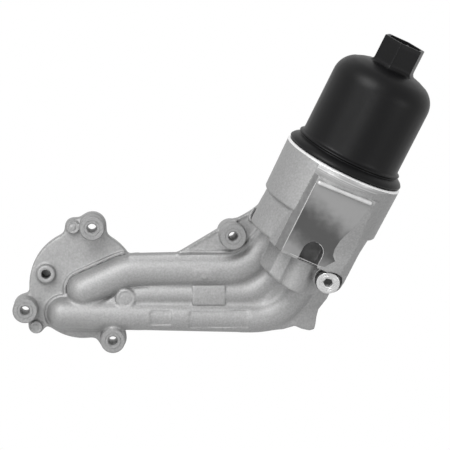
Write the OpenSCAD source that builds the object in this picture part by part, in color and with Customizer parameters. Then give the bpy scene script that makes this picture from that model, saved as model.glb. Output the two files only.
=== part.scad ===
// Oil filter bracket: a cast housing that bolts to an engine by a round flange, carries oil in
// two wide passages to a tilted filter bowl, and holds a screwed cap with a paper element.
// Frame: origin near the flange centre on the mounting face, +X along the passages,
// +Z up, and the casting standing out of the mounting face towards -Y.

/* [Flange] */
// Radius of the round flange
flange_r = 38.2; // [36:0.1:40]
// Thickness of the flange plate
flange_t = 12; // [9:0.5:14]
// Outer radius of each bolt boss
boss_r = 8.6; // [7.5:0.1:9.5]
// Radius of each bolt hole
bolt_hole_r = 3.1; // [2.6:0.1:3.8]
// How far the flange bolt bosses stand out from the mounting face
boss_h = 27; // [22:0.5:30]
// Outer radius of the raised collar round the sensor hole
collar_r = 6.5; // [5:0.1:7]
// Radius of the sensor hole
collar_hole_r = 3.2; // [2.5:0.1:4]
// How far the collar stands out from the mounting face
collar_h = 18; // [15:0.5:21]
// Depth of the sensor hole from the collar's face
sensor_deep = 14; // [8:0.5:15]

/* [Ports in the mounting face] */
// Radius of the inlet and outlet bores
bore_r = 7.2; // [5.5:0.1:7.6]
// Radius of the small return bore
return_bore_r = 2.6; // [1.8:0.1:3]
// Radius from a large port's centre to the middle of its seal
port_seal_r = 10.5; // [10:0.1:11]
// Radius from the return port's centre to the middle of its seal
return_seal_r = 4.8; // [4.4:0.1:5.2]
// Thickness of the round section of the port seals
port_seal_d = 2.4; // [1.8:0.1:2.8]

/* [Passages] */
// Outer radius of the outlet passage
upper_r = 11.4; // [10.5:0.1:12.5]
// Outer radius of the inlet passage
lower_r = 10.4; // [9.8:0.1:11.6]
// Outer radius of the return passage between them
middle_r = 6; // [5:0.1:7]
// Distance of the passage axes from the mounting face
passage_depth = 17; // [16:0.5:20]
// Bend radius of the outlet passage on its way to the bowl
upper_bend = 28; // [22:1:34]
// Bend radius of the inlet passage on its way to the bowl
lower_bend = 36; // [26:1:38]
// Thickness of the web plate that ties the passages together
web_t = 9; // [6:0.5:12]
// Height of the lip on the flange face round the passages
lip_h = 1.4; // [0.6:0.1:2]
// Width of that lip
lip_w = 1.2; // [0.8:0.1:2]
// Depth of the blank label pockets in the inlet passage
label_deep = 0.7; // [0.4:0.1:1.2]
// Height of the rectangular pad on the return passage above that passage
stamp_h = 1; // [0.5:0.1:2]

/* [Bracket arm] */
// How far the bolt boss of the arm stands out from the mounting face
arm_boss_h = 35; // [31:0.5:38]
// Thickness of the triangular arm plate
arm_t = 7; // [5:0.5:10]
// Height of the bead along the edge of the arm plate
bead_h = 2; // [1:0.5:3]

/* [Filter bowl] */
// Sideways tilt of the bowl axis from upright
bowl_tilt = 25.4; // [20:0.1:30]
// Lean of the bowl axis towards the front
bowl_lean = 9; // [5:1:12]
// Sideways position of the rim centre
rim_x = 180.2; // [176:0.1:184]
// Distance of the rim centre in front of the mounting face
rim_out = 50; // [48:0.5:53]
// Height of the rim centre
rim_z = 87.3; // [85:0.1:91]
// Outer radius of the rim band
rim_r = 42.4; // [41.6:0.1:44]
// Height of the rim band
rim_h = 39; // [37:0.5:43]
// Outer radius of the bowl under the rim band
bowl_r = 38.2; // [37.6:0.1:40]
// Depth from the rim to the bottom edge of the bowl
bowl_h = 64.5; // [62:0.5:67]
// Radius of the bore that takes the cap
cap_bore_r = 36; // [35.6:0.1:36.6]
// Depth of that bore
cap_bore_h = 34; // [32:0.5:36]
// Radius of the lower chamber
chamber_r = 33.6; // [32.6:0.1:34.4]
// Depth from the rim to the chamber floor
floor_z = 47; // [46:0.5:49]

/* [Pad, pocket and lower bosses] */
// Distance of the machined pad from the bowl axis
pad_out = 38.8; // [38.2:0.1:39.5]
// Turn of the pad about the bowl axis
pad_turn = 5; // [0:1:10]
// Radius of the half-round pocket
pocket_r = 7; // [5:0.1:8]
// Depth of the pocket
pocket_deep = 9; // [4:0.5:11]
// Radius of the upright boss under the pad
valve_boss_r = 9.8; // [8:0.1:11]
// Radius of the boss that takes the screw plug
plug_boss_r = 10.2; // [9.8:0.1:11]
// Downward dip of the screw plug
plug_dip = 12; // [0:1:20]

/* [Filter cap] */
// Radius of the cap body
cap_r = 35.4; // [34.6:0.1:36]
// Radius of the cap flange
cap_flange_r = 41.8; // [41:0.1:43]
// Wall of the cap
cap_wall = 3.2; // [2.4:0.1:3.4]
// Height of the straight side above the rim
cap_side_h = 55; // [53:0.5:58]
// Height of the dome at the foot of the hexagon
cap_dome_h = 74; // [73:0.5:76]
// Height of the top of the hexagon above the rim
cap_top_h = 91.5; // [88:0.5:95]
// Width across the flats of the hexagon
hex_af = 27; // [24:0.5:28]
// Wall of the hollow hexagon
hex_wall = 2.6; // [2:0.1:3.2]
// Thickness of the rib across the inside of the hexagon
hex_rib = 1.6; // [1:0.1:2.4]
// Length of the screwed skirt below the rim
skirt_h = 30; // [26:0.5:31]
// Thickness of the cap seal's round section
cap_seal_d = 2.8; // [2.4:0.1:3]

/* [Filter element] */
// Outer radius of the pleated paper
pleat_r = 30; // [27:0.5:31]
// Number of pleats
pleats = 44; // [32:1:60]
// Height of the paper's lower end disc above the chamber floor
element_lift = 11; // [10.5:0.5:12]
// Height of the top of the element above the rim
element_top = 60; // [56:0.5:60]
// Outer radius of the perforated core tube
core_r = 14; // [13.4:0.1:15]
// Wall of the core tube
core_wall = 1.4; // [1:0.1:2]
// Outer radius of the standpipe
standpipe_r = 7.5; // [7:0.1:8]
// Wall of the standpipe
standpipe_wall = 1.8; // [1.2:0.1:2.4]

/* [Valves] */
// Travel of the bypass valve
bypass_travel = 3.5; // [2:0.5:4]
// Travel of the check valve
check_travel = 2.5; // [1.5:0.5:3]
// Radius of the check valve disc
check_r = 6.6; // [6:0.1:7]

/* [Screw plug] */
// Radius of the plug's head
plug_head_r = 8.5; // [7.8:0.1:9]
// Radius of the plug's threaded shank
plug_shank_r = 5.9; // [5:0.1:6.4]
// Width across the flats of the plug's hexagon socket
plug_socket_af = 6; // [5:0.5:8]

/* [Fits] */
// Radial clearance of sliding and screwed parts
slip = 0.1; // [0.08:0.01:0.15]
// Gap left between parts that turn or slide past each other
gap = 0.3; // [0.2:0.05:0.4]

/* [Hidden] */
$fn = 64;
eps = 0.01;

// Places on the mounting face, as [x, z]
disc_at = [1.6, -0.4];
top_lug = [7.7, 40.9];
left_lug = [-39.1, -16.3];
bottom_lug = [21.7, -38.1];
arm_boss = [105.2, 35.4];
top_ejector = [-5.5, 40.5];
left_ejector = [-31.8, -29.5];
pad_ejector = [30.7, -8.9];
collar_at = [-24.6, 7.9];
outlet_port = [14, 3.4];
inlet_port = [-8, -21];
return_port = [26, -14];

// Corners of the passage routes on the mounting face, nose first
upper_path = [[1.1, -3.4], [33, 10.6], [113.8, 10.3], [133, 32.5]];
lower_path = [[-13, -19.9], [139.3, -24.9], [163, 10.5]];
middle_path = [[30.7, -8.9], [42, -6.8], [119, -6.6], [131, 7]];
nose_bend = 40;
middle_bend = 22;
hair = 0.1;
lap = 0.8;

// Where the passages end inside the bowl's base, in the bowl's own frame
outlet_top = [-17, 19, -bowl_h - 5.5];
inlet_top = [15.5, 14, -floor_z];
way_z = -bowl_h - 1.5;

rim_y = -rim_out;
wall_r = bowl_r - 1.6;
plug_at = [22.2, -29.5, -bowl_h - 8.4];

// Cap and valves, measured along the bowl axis from the rim
cap_inner_r = cap_r - cap_wall;
skirt_inner_r = pleat_r + 1.4;
skirt_r = cap_bore_r - slip - 0.9;
land_r = cap_bore_r - slip;
seal_outer_r = cap_bore_r - 0.8 * slip;
seal_z = -5.5;
tube_r = 11.2;
tube_inner_r = 9.2;
valve_seat_z = cap_dome_h - 11.5;
seat_hole_r = 6;
element_bottom = element_lift - floor_z;
disc_t = 2;
pleat_inner_r = core_r + gap;
check_seat_h = 5;
check_wall = 1.6;
check_roof_t = 1.4;
check_disc_t = 1.2;
check_turns = 4;
check_wire = 0.8;
check_cage_h = gap / 2 + check_disc_t + check_travel + check_turns * check_wire + 0.05 + check_roof_t;
bypass_turns = 5;
bypass_wire = 1;
bypass_cage_t = 3.5;
poppet_t = 1.6;
spring_spare = 4.5;
tube_bottom = valve_seat_z - gap - poppet_t - bypass_travel - bypass_turns * bypass_wire
  - spring_spare - bypass_cage_t;
hex_r = hex_af / sqrt(3);
hex_turn = 14;
shoulder_r = 16;
standpipe_top = 20;
tower_r = 11;
pad_left = -20.8;
core_rows = 7;
plug_head_h = 3.4;
plug_shank_h = 10;
plug_socket_h = 4.5;
plug_seal_d = 2.4;
plug_seal_sink = 1.6;
plug_foot = plug_seal_d - plug_seal_sink + 0.05;

function bowl_to_frame(p) =
  let (
    y1 = p[1] * cos(bowl_lean) - p[2] * sin(bowl_lean),
    z1 = p[1] * sin(bowl_lean) + p[2] * cos(bowl_lean)
  )
  [
    rim_x + p[0] * cos(bowl_tilt) + z1 * sin(bowl_tilt),
    rim_y + y1,
    rim_z - p[0] * sin(bowl_tilt) + z1 * cos(bowl_tilt)
  ];

function unit(v) = v / norm(v);

// Stands children up on the mounting face: x stays x, y becomes z, z runs out of the face
module on_face() {
  rotate([90, 0, 0]) children();
}

// Puts children in the bowl's frame, with z along the bowl axis and zero at the rim
module in_bowl() {
  translate([rim_x, rim_y, rim_z]) rotate([0, bowl_tilt, 0]) rotate([bowl_lean, 0, 0]) children();
}

// A round bar from one point to another
module bar(a, b, r_a, r_b) {
  v = b - a;
  turn = atan2(v[1], v[0]);
  fall = acos(v[2] / norm(v));
  translate(a) rotate([0, fall, turn]) cylinder(h = norm(v), r1 = r_a, r2 = r_b);
}

// A round run through the corners of a flat route. Each straight is a hair thinner than the
// bends and reaches a little way into them, so that no two surfaces lie on each other.
module round_run(path, bends, r) {
  last = len(path) - 1;
  leg = [for (i = [0:last - 1]) path[i + 1] - path[i]];
  way = [for (v = leg) atan2(v[1], v[0])];
  turn = [for (i = [0:last]) i == 0 || i == last ? 0 : way[i] - way[i - 1]];
  cut = [for (i = [0:last]) i == 0 || i == last ? 0 : bends[i - 1] * tan(abs(turn[i]) / 2) - lap];
  for (i = [0:last - 1]) {
    start = path[i] + unit(leg[i]) * cut[i];
    length = norm(leg[i]) - cut[i] - cut[i + 1];
    translate([start[0], start[1], 0]) rotate([0, 0, way[i]]) rotate([0, 90, 0])
      cylinder(h = length, r = r - hair);
  }
  for (i = [1:last - 1]) {
    side = turn[i] > 0 ? 1 : -1;
    into = path[i] - unit(leg[i - 1]) * (cut[i] + lap);
    centre = into + side * bends[i - 1] * [-sin(way[i - 1]), cos(way[i - 1])];
    start_angle = turn[i] > 0 ? way[i - 1] - 90 : way[i - 1] + 90 + turn[i];
    translate([centre[0], centre[1], 0]) rotate([0, 0, start_angle])
      rotate_extrude(angle = abs(turn[i])) translate([bends[i - 1], 0]) circle(r = r);
  }
  translate([path[0][0], path[0][1], 0]) sphere(r = r);
}

// An arm of the flange plate that reaches out to a boss
module lug_arm(to, root, tip) {
  n = unit([-to[1], to[0]]);
  polygon([n * root, to + n * tip, to - n * tip, -n * root]);
}

module boss(at, r, h) {
  translate([at[0], at[1], 0]) cylinder(h = h, r = r);
}

module hole(at, r, h) {
  translate([at[0], at[1], -eps]) cylinder(h = h + 2 * eps, r = r);
}

module flange() {
  linear_extrude(flange_t) union() {
    translate(disc_at) circle(r = flange_r);
    lug_arm(top_lug, 26, boss_r - 1.6);
    lug_arm(left_lug, 22, boss_r - 1.6);
    lug_arm(bottom_lug, 22, boss_r - 1.6);
    lug_arm(top_ejector, 16, 4.6);
    lug_arm(left_ejector, 12, 4.2);
  }
  boss(top_lug, boss_r, boss_h);
  boss(left_lug, boss_r, boss_h);
  boss(bottom_lug, boss_r, boss_h);
  boss(top_ejector, 5.6, flange_t + 5);
  boss(left_ejector, 5.2, flange_t + 6);
  boss(pad_ejector, 7.2, passage_depth + 7);
  boss(collar_at, collar_r, collar_h);
}

module passages() {
  translate([0, 0, passage_depth]) {
    round_run(upper_path, [nose_bend, upper_bend], upper_r);
    round_run(lower_path, [lower_bend], lower_r);
    round_run(middle_path, [nose_bend, middle_bend], middle_r);
  }
}

// Points along a bent route, with each bend as a few short steps
function bent_points(path, bends) = concat(
  [path[0]],
  [for (i = [1:len(path) - 2])
    let (
      a = unit(path[i] - path[i - 1]),
      b = unit(path[i + 1] - path[i]),
      turn = atan2(a[0] * b[1] - a[1] * b[0], a * b),
      side = turn > 0 ? 1 : -1,
      start = path[i] - a * bends[i - 1] * tan(abs(turn) / 2),
      centre = start + side * bends[i - 1] * [-a[1], a[0]]
    )
    each [for (k = [0:5]) let (t = turn * k / 5, v = start - centre)
      centre + [v[0] * cos(t) - v[1] * sin(t), v[0] * sin(t) + v[1] * cos(t)]]],
  [path[len(path) - 1]]
);

// Flat outline at a distance r on both sides of a route, round at its nose
function route_outline(p, r) =
  let (
    n = len(p),
    way = [for (i = [0:n - 1]) let (v = p[min(i + 1, n - 1)] - p[max(i - 1, 0)]) atan2(v[1], v[0])]
  )
  concat(
    [for (i = [0:n - 1]) p[i] + r * [cos(way[i] - 90), sin(way[i] - 90)]],
    [for (i = [n - 1:-1:0]) p[i] + r * [cos(way[i] + 90), sin(way[i] + 90)]],
    [for (a = [105:15:255]) p[0] + r * [cos(way[0] + a), sin(way[0] + a)]]
  );

// Lip that stands on the flange face a little way outside the passages
module lip() {
  upper = bent_points(upper_path, [nose_bend, upper_bend]);
  lower = bent_points(lower_path, [lower_bend]);
  linear_extrude(flange_t + lip_h) intersection() {
    translate(disc_at) circle(r = flange_r - 1.2);
    difference() {
      union() {
        polygon(route_outline(upper, upper_r + 0.8 + lip_w));
        polygon(route_outline(lower, lower_r + 0.8 + lip_w));
      }
      polygon(route_outline(upper, upper_r + 0.8));
      polygon(route_outline(lower, lower_r + 0.8));
    }
  }
}

// Proud rectangle on the return passage, and the small round stud on the outlet passage
module stamp() {
  translate([77, -14, passage_depth]) cube([23.4, 14, middle_r + stamp_h]);
  translate([85.5, 6.8, passage_depth]) cylinder(h = upper_r - 0.1, r = 2.2);
}

// Shallow blank pocket that follows the round of the inlet passage
module label_pocket(from, to) {
  nose = lower_path[0];
  leg = lower_path[1] - nose;
  translate([nose[0], nose[1], passage_depth]) rotate([0, 0, atan2(leg[1], leg[0])])
    difference() {
      translate([from - nose[0], -6.2, 0]) cube([to - from, 12, lower_r + 1]);
      rotate([0, 90, 0]) cylinder(h = norm(leg), r = lower_r - label_deep);
    }
}

// Plate between the passages, and the fins that carry them to the bowl
module web() {
  translate([0, 0, passage_depth - web_t / 2]) linear_extrude(web_t) union() {
    polygon([[6, -20], [24, 8], [108, 9], [132, 30], [150, 22], [150, -4], [136, -20], [112, -23]]);
    polygon([
      [112, -33.5], [141, -32.5], [149.7, -30.1], [154.4, -32.2], [160.2, -33.5], [163.6, -32.8],
      [164.4, -28.5], [165, -23.5], [166.4, -18.2], [172.4, -10.6], [175.4, -5], [172, 14], [150, 22],
      [126, -16]
    ]);
  }
}

module arm() {
  plate = [
    [34, 10], [33, 21.5], [65.7, 22.6], [82.9, 32.9], [96, 40.8], [100.4, 45], [108.1, 47.1],
    [117.9, 52.6], [123.8, 57.2], [127.7, 64.2], [140, 62], [140, 28], [120, 12]
  ];
  translate([0, 0, passage_depth - 1]) {
    linear_extrude(arm_t) polygon(plate);
    linear_extrude(arm_t + bead_h) difference() {
      polygon(plate);
      polygon([[70, 21.4], [84.6, 30.4], [98, 38.6], [119, 49.8], [127, 54], [142, 50], [142, 8], [60, 8]]);
    }
  }
  boss(arm_boss, boss_r + 1.8, arm_boss_h - 6);
  boss(arm_boss, boss_r + 0.3, arm_boss_h);
}

module bowl_outside() {
  rotate_extrude() polygon([
    [0, -bowl_h], [wall_r - 0.4, -bowl_h], [bowl_r, -rim_h - 2], [rim_r - 0.8, -rim_h + 1.4],
    [rim_r, -1.6], [rim_r - 1.6, 0], [0, 0]
  ]);
  translate([-9, 0, -bowl_h + hair]) cylinder(h = bowl_h - rim_h, r = bowl_r - 7.4);
}

// The proud block that carries the machined pad, seen along the bowl axis
module pad_block() {
  translate([0, 0, -bowl_h - 2]) linear_extrude(bowl_h - 7) rotate(pad_turn)
    polygon([
      [-30, -18], [-25.8, 7 - pad_out], [pad_left, -pad_out], [22.5, -pad_out], [31, 14 - pad_out], [20, -8]
    ]);
}

module base_block() {
  translate([2.5, -4, -bowl_h - 26.5]) cylinder(h = 30, r = 20);
  translate([2.5, -19.5, -bowl_h - 25]) cylinder(h = 30, r = valve_boss_r);
  translate([24, -15, -bowl_h - 17.5]) cylinder(h = 36, r = tower_r);
  translate([24, -15, 18.5 - bowl_h]) sphere(r = tower_r);
}

// Outer walls of the passages where they rise into the bowl's base
module risers() {
  outlet_end = [upper_path[3][0], -passage_depth, upper_path[3][1]];
  inlet_end = [lower_path[2][0], -passage_depth, lower_path[2][1]];
  outlet_into = [outlet_top[0] + 2, outlet_top[1] - 3, 6.5 - bowl_h];
  inlet_into = [inlet_top[0], inlet_top[1], 6.5 - bowl_h];
  bar(outlet_end, bowl_to_frame(outlet_into), upper_r - hair, upper_r + 1);
  bar(inlet_end, bowl_to_frame(inlet_into), lower_r - hair, lower_r + 2);
  translate(outlet_end) sphere(r = upper_r + hair);
  translate(inlet_end) sphere(r = lower_r + hair);
}

// Puts children on the screw plug's axis, with z running out of the boss and zero at its face
module at_plug() {
  translate(plug_at) rotate([90 + plug_dip, 0, 0]) children();
}

module bowl() {
  difference() {
    union() {
      bowl_outside();
      pad_block();
      base_block();
      at_plug() translate([0, 0, -16]) cylinder(h = 16, r = plug_boss_r);
    }
    pad_relief();
    pad_slope();
    pocket();
  }
  pad_bar();
}

// Material milled away in front of the pad, with a sloped shoulder under the rim
module pad_relief() {
  rotate(pad_turn) translate([pad_left + 0.2, -pad_out, 0]) rotate([90, 0, 90]) linear_extrude(47)
    polygon([[0, -bowl_h - 1], [0, -13.2], [-3.4, -8.6], [-10, -8.6], [-10, -bowl_h - 1]]);
}

// Slope that falls back from the right edge of the milled pad
module pad_slope() {
  rotate(pad_turn) translate([20, -pad_out, -13.2]) rotate([0, 12, 0]) rotate([0, 0, 21])
    translate([0, -20, 14 - bowl_h]) cube([30, 20, bowl_h - 14]);
}

// Round-ended bar across the top of the pad
module pad_bar() {
  rotate(pad_turn) translate([0, 0.2 - pad_out, 0]) {
    bar([-18.2, 0, -12], [18.6, 0, -10.2], 1.3, 1.3);
    translate([18.6, 0, -10.2]) sphere(r = 1.3 + hair);
  }
}

module pocket() {
  rotate(pad_turn) translate([-0.9, pocket_deep - pad_out, 6.9 - bowl_h]) rotate([90, 0, 0]) {
    cylinder(h = pocket_deep + 6, r = pocket_r);
    translate([-pocket_r, -8.5, 0]) cube([2 * pocket_r, 8.5, pocket_deep + 6]);
  }
}

// Bored lengths of the three passages, each with its port in the mounting face
module outlet_way() {
  on_face() {
    translate([0, 0, passage_depth]) round_run(upper_path, [nose_bend, upper_bend], bore_r);
    hole(outlet_port, bore_r - 0.5, passage_depth + 2);
  }
}

module inlet_way() {
  on_face() {
    translate([0, 0, passage_depth]) round_run(lower_path, [lower_bend], bore_r);
    hole(inlet_port, bore_r - 0.5, passage_depth + 2);
  }
}

module return_way() {
  on_face() {
    translate([0, 0, passage_depth]) round_run(middle_path, [nose_bend, middle_bend], return_bore_r);
    hole(return_port, return_bore_r, flange_t - 2);
    bar(
      [return_port[0], return_port[1], flange_t - 3], [middle_path[0][0], middle_path[0][1], passage_depth],
      return_bore_r - 0.3, return_bore_r - 0.3
    );
  }
}

// Drillings in the bowl's base that join the passages to the standpipe and the check valve
module base_ways() {
  outlet_end = [upper_path[3][0], -passage_depth, upper_path[3][1]];
  inlet_end = [lower_path[2][0], -passage_depth, lower_path[2][1]];
  bar(outlet_end, bowl_to_frame(outlet_top), bore_r - 0.6, bore_r - 1);
  bar(inlet_end, bowl_to_frame([inlet_top[0], inlet_top[1], way_z]), bore_r - 0.6, bore_r - 1.4);
  in_bowl() {
    bar(outlet_top, [0, 0, way_z + 4], bore_r - 1.4, standpipe_r - 2.4);
    translate([0, 0, way_z]) cylinder(h = 1 - floor_z - way_z, r = standpipe_r - 2);
    translate([inlet_top[0], inlet_top[1], way_z - 5]) cylinder(h = 6 - floor_z - way_z, r = check_r - 1.5);
  }
}

module bolt_holes() {
  hole(top_lug, bolt_hole_r, boss_h);
  hole(left_lug, bolt_hole_r, boss_h);
  hole(bottom_lug, bolt_hole_r, boss_h);
  hole(arm_boss, bolt_hole_r, arm_boss_h);
  translate([collar_at[0], collar_at[1], collar_h - sensor_deep])
    cylinder(h = sensor_deep + eps, r = collar_hole_r);
}

module seal_groove(at, r) {
  translate([at[0], at[1], -eps]) difference() {
    cylinder(h = port_seal_d + slip + eps, r = r + port_seal_d * 0.6);
    translate([0, 0, -1]) cylinder(h = port_seal_d + 2, r = r - port_seal_d * 0.6);
  }
}

module housing_casting() {
  color("silver") difference() {
    union() {
      on_face() {
        flange();
        lip();
        passages();
        web();
        stamp();
        arm();
      }
      risers();
      in_bowl() bowl();
    }
    outlet_way();
    inlet_way();
    return_way();
    base_ways();
    on_face() {
      bolt_holes();
      label_pocket(47.9, 62.8);
      label_pocket(75, 117.6);
      seal_groove(outlet_port, port_seal_r);
      seal_groove(inlet_port, port_seal_r);
      seal_groove(return_port, return_seal_r);
    }
    in_bowl() {
      translate([0, 0, -cap_bore_h]) cylinder(h = cap_bore_h + 1, r = cap_bore_r);
      translate([0, 0, -floor_z]) cylinder(h = floor_z, r = chamber_r);
      translate([0, 0, -floor_z - 8]) cylinder(h = 9, r = standpipe_r);
      translate([inlet_top[0], inlet_top[1], -floor_z - check_seat_h])
        cylinder(h = check_seat_h + 1, r = check_r + check_wall);
      at_plug() {
        translate([0, 0, -22]) cylinder(h = 23, r = plug_shank_r + slip);
        translate([0, 0, -plug_seal_sink]) cylinder(h = plug_seal_sink + 16, r = plug_head_r + gap);
      }
    }
  }
}

module port_seal(at, r) {
  color([0.12, 0.12, 0.12]) on_face() translate([at[0], at[1], port_seal_d / 2 + slip / 2])
    rotate_extrude() translate([r, 0]) circle(d = port_seal_d);
}

module inlet_port_seal() {
  port_seal(inlet_port, port_seal_r);
}

module outlet_port_seal() {
  port_seal(outlet_port, port_seal_r);
}

module return_port_seal() {
  port_seal(return_port, return_seal_r);
}

// Tube pressed into the chamber floor, which takes the clean oil out of the element's core
module standpipe() {
  color("gainsboro") in_bowl() difference() {
    union() {
      translate([0, 0, -floor_z - 8]) cylinder(h = 8 + standpipe_top + floor_z, r = standpipe_r);
      translate([0, 0, -floor_z]) cylinder(h = 2.5, r = standpipe_r + 2.4);
    }
    translate([0, 0, -floor_z - 9]) cylinder(h = 90, r = standpipe_r - standpipe_wall);
    for (a = [0:90:270]) rotate(a) translate([0, 0, standpipe_top - 5]) rotate([90, 0, 0])
      cylinder(h = standpipe_r + 1, r = 1.6);
  }
}

// Puts children at the check valve, with zero at the chamber floor
module at_check() {
  in_bowl() translate(inlet_top) children();
}

module check_valve_seat() {
  color("lightgrey") at_check() rotate_extrude() difference() {
    translate([check_r - 1.5, -check_seat_h]) square([1.5 + check_wall, check_seat_h]);
    polygon([[check_r - 1.6, eps], [check_r - 1.6, -1.5], [check_r + 0.2, eps]]);
  }
}

module check_valve_disc() {
  color("dimgrey") at_check() translate([0, 0, gap / 2]) union() {
    cylinder(h = check_disc_t, r = check_r);
    cylinder(h = check_disc_t + 1, r = 2.4);
  }
}

// Wire of a coil spring, as rings of points swept up a helix
module coil(turns, height, r, wire, sides, steps) {
  rings = turns * steps;
  rise = (height - wire) / rings;
  points = [for (i = [0:rings], k = [0:sides - 1])
    let (a = 360 * i / steps, b = 360 * k / sides, wide = r + wire / 2 * cos(b))
    [wide * cos(a), wide * sin(a), wire / 2 + rise * i + wire / 2 * sin(b)]];
  faces = concat(
    [[for (k = [sides - 1:-1:0]) k]],
    [for (i = [0:rings - 1], k = [0:sides - 1]) let (n = (k + 1) % sides)
      [i * sides + n, (i + 1) * sides + n, (i + 1) * sides + k, i * sides + k]],
    [[for (k = [0:sides - 1]) rings * sides + k]]
  );
  polyhedron(points, faces);
}

module check_valve_spring() {
  foot = check_disc_t + gap / 2 + 0.05;
  color("darkgrey") at_check() translate([0, 0, foot])
    coil(check_turns, check_cage_h - check_roof_t - foot - 0.05, 3.6, check_wire, 6, 12);
}

module check_valve_cage() {
  color("gainsboro") at_check() difference() {
    cylinder(h = check_cage_h, r = check_r + check_wall);
    translate([0, 0, -1]) cylinder(h = check_cage_h - check_roof_t + 1, r = check_r + 0.5);
    for (a = [0:60:300]) rotate(a) translate([check_r, -1.8, 0.8])
      cube([4, 3.6, check_cage_h - check_roof_t - 1.8]);
    cylinder(h = check_cage_h + 1, r = 2);
  }
}

// Outline of the cap from the rim up to the foot of the hexagon
function cap_outline(inset) = concat(
  [[cap_r - inset, cap_side_h]],
  [for (a = [10:10:60]) [
    cap_r - shoulder_r + (shoulder_r - inset) * cos(a),
    cap_side_h + (shoulder_r - inset) * sin(a)
  ]],
  [[hex_r + 2.4, cap_dome_h - 2 - inset], [hex_r + 0.6, cap_dome_h - 0.8 - inset]]
);

module filter_cap() {
  color([0.16, 0.16, 0.17]) in_bowl() difference() {
    union() {
      rotate_extrude() polygon(concat(
        [
          [0, -skirt_h], [skirt_r - 0.6, -skirt_h], [skirt_r, -skirt_h + 0.8], [skirt_r, seal_z - 5],
          [land_r, seal_z - 4], [land_r, 0.2], [cap_flange_r - 0.8, 0.2], [cap_flange_r, 1],
          [cap_flange_r - 0.3, 2.6], [cap_flange_r - 4, 5.7], [cap_r + 1.4, 6.4], [cap_r + 2.2, 7.4],
          [cap_r + 2, 8.3], [cap_r + 0.4, 9.4], [cap_r, 10.4]
        ],
        cap_outline(0), [[0, cap_dome_h - 0.8]]
      ));
      translate([0, 0, cap_dome_h - 1.2]) rotate(hex_turn)
        cylinder(h = cap_top_h - cap_dome_h + 1.2, r = hex_r, $fn = 6);
    }
    rotate_extrude() polygon(concat(
      [[0, -skirt_h - 1], [skirt_inner_r, -skirt_h - 1], [skirt_inner_r, 1], [cap_inner_r, 4]],
      cap_outline(cap_wall), [[0, cap_dome_h - 0.8 - cap_wall]]
    ));
    translate([0, 0, cap_dome_h + 1]) rotate(hex_turn) difference() {
      cylinder(h = cap_top_h, r = hex_r - hex_wall, $fn = 6);
      rotate(60) translate([-hex_r, -hex_rib / 2 - 1.5, -1])
        cube([2 * hex_r, hex_rib, cap_top_h - cap_dome_h - 1.5]);
    }
    rotate(hex_turn - 60) translate([hex_r, 0, cap_top_h]) cube([3, 4, 4], center = true);
    translate([0, 0, seal_z]) rotate_extrude()
      translate([seal_outer_r - cap_seal_d - 0.05, -cap_seal_d * 0.6])
        square([cap_seal_d + 1, cap_seal_d * 1.2]);
  }
  color([0.16, 0.16, 0.17]) in_bowl() cap_tube();
}

// Tube moulded under the cap's crown: it holds the bypass valve and centres the element
module cap_tube() {
  difference() {
    translate([0, 0, tube_bottom]) cylinder(h = cap_dome_h - 2 - tube_bottom, r = tube_r);
    translate([0, 0, tube_bottom - 1]) cylinder(h = valve_seat_z - tube_bottom + 1, r = tube_inner_r);
    translate([0, 0, valve_seat_z - 1]) cylinder(h = cap_dome_h - 3 - valve_seat_z, r = seat_hole_r);
    for (a = [0:90:270]) rotate(a) translate([0, -3, valve_seat_z + 1.5])
      cube([tube_r + 2, 6, 4.6]);
  }
}

module cap_seal() {
  color([0.1, 0.1, 0.1]) in_bowl() translate([0, 0, seal_z]) rotate_extrude()
    translate([seal_outer_r - cap_seal_d / 2, 0]) circle(d = cap_seal_d);
}

module bypass_poppet() {
  color("dimgrey") in_bowl() union() {
    translate([0, 0, valve_seat_z - gap - poppet_t]) cylinder(h = poppet_t, r = seat_hole_r + 2);
    translate([0, 0, valve_seat_z - gap - poppet_t - 3]) cylinder(h = 4, r = 3.4);
  }
}

module bypass_spring() {
  foot = tube_bottom + bypass_cage_t + 0.05;
  color("darkgrey") in_bowl() translate([0, 0, foot])
    coil(bypass_turns, valve_seat_z - gap - poppet_t - foot - 0.05, 4.6, bypass_wire, 6, 14);
}

// Slotted disc clipped into the foot of the cap's tube, which carries the bypass spring
module bypass_cage() {
  color("gainsboro") in_bowl() translate([0, 0, tube_bottom]) difference() {
    union() {
      cylinder(h = bypass_cage_t, r = tube_inner_r);
      translate([0, 0, -1]) cylinder(h = 1, r = tube_r - 0.4);
    }
    for (a = [0:60:300]) rotate(a) translate([6.4, 0, -2]) cylinder(h = 7, r = 1.5);
    translate([0, 0, -2]) cylinder(h = 7, r = 2);
  }
}

module filter_pleats() {
  step = 360 / pleats;
  outer = [for (i = [0:pleats - 1]) each [
    pleat_r * [cos(i * step), sin(i * step)],
    (pleat_inner_r + 1.2) * [cos((i + 0.5) * step), sin((i + 0.5) * step)]
  ]];
  color([0.85, 0.75, 0.5]) in_bowl() translate([0, 0, element_bottom + disc_t])
    linear_extrude(element_top - element_bottom - 2 * disc_t) difference() {
      polygon(outer);
      circle(r = pleat_inner_r);
    }
}

module filter_top_disc() {
  color([0.3, 0.3, 0.32]) in_bowl() translate([0, 0, element_top - disc_t]) difference() {
    cylinder(h = disc_t, r = pleat_r + 0.8);
    translate([0, 0, -1]) cylinder(h = disc_t + 2, r = tube_r + slip);
  }
}

module filter_bottom_disc() {
  color([0.3, 0.3, 0.32]) in_bowl() translate([0, 0, element_bottom]) difference() {
    cylinder(h = disc_t, r = pleat_r + 0.8);
    translate([0, 0, -1]) cylinder(h = disc_t + 2, r = standpipe_r + 2);
  }
}

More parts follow.
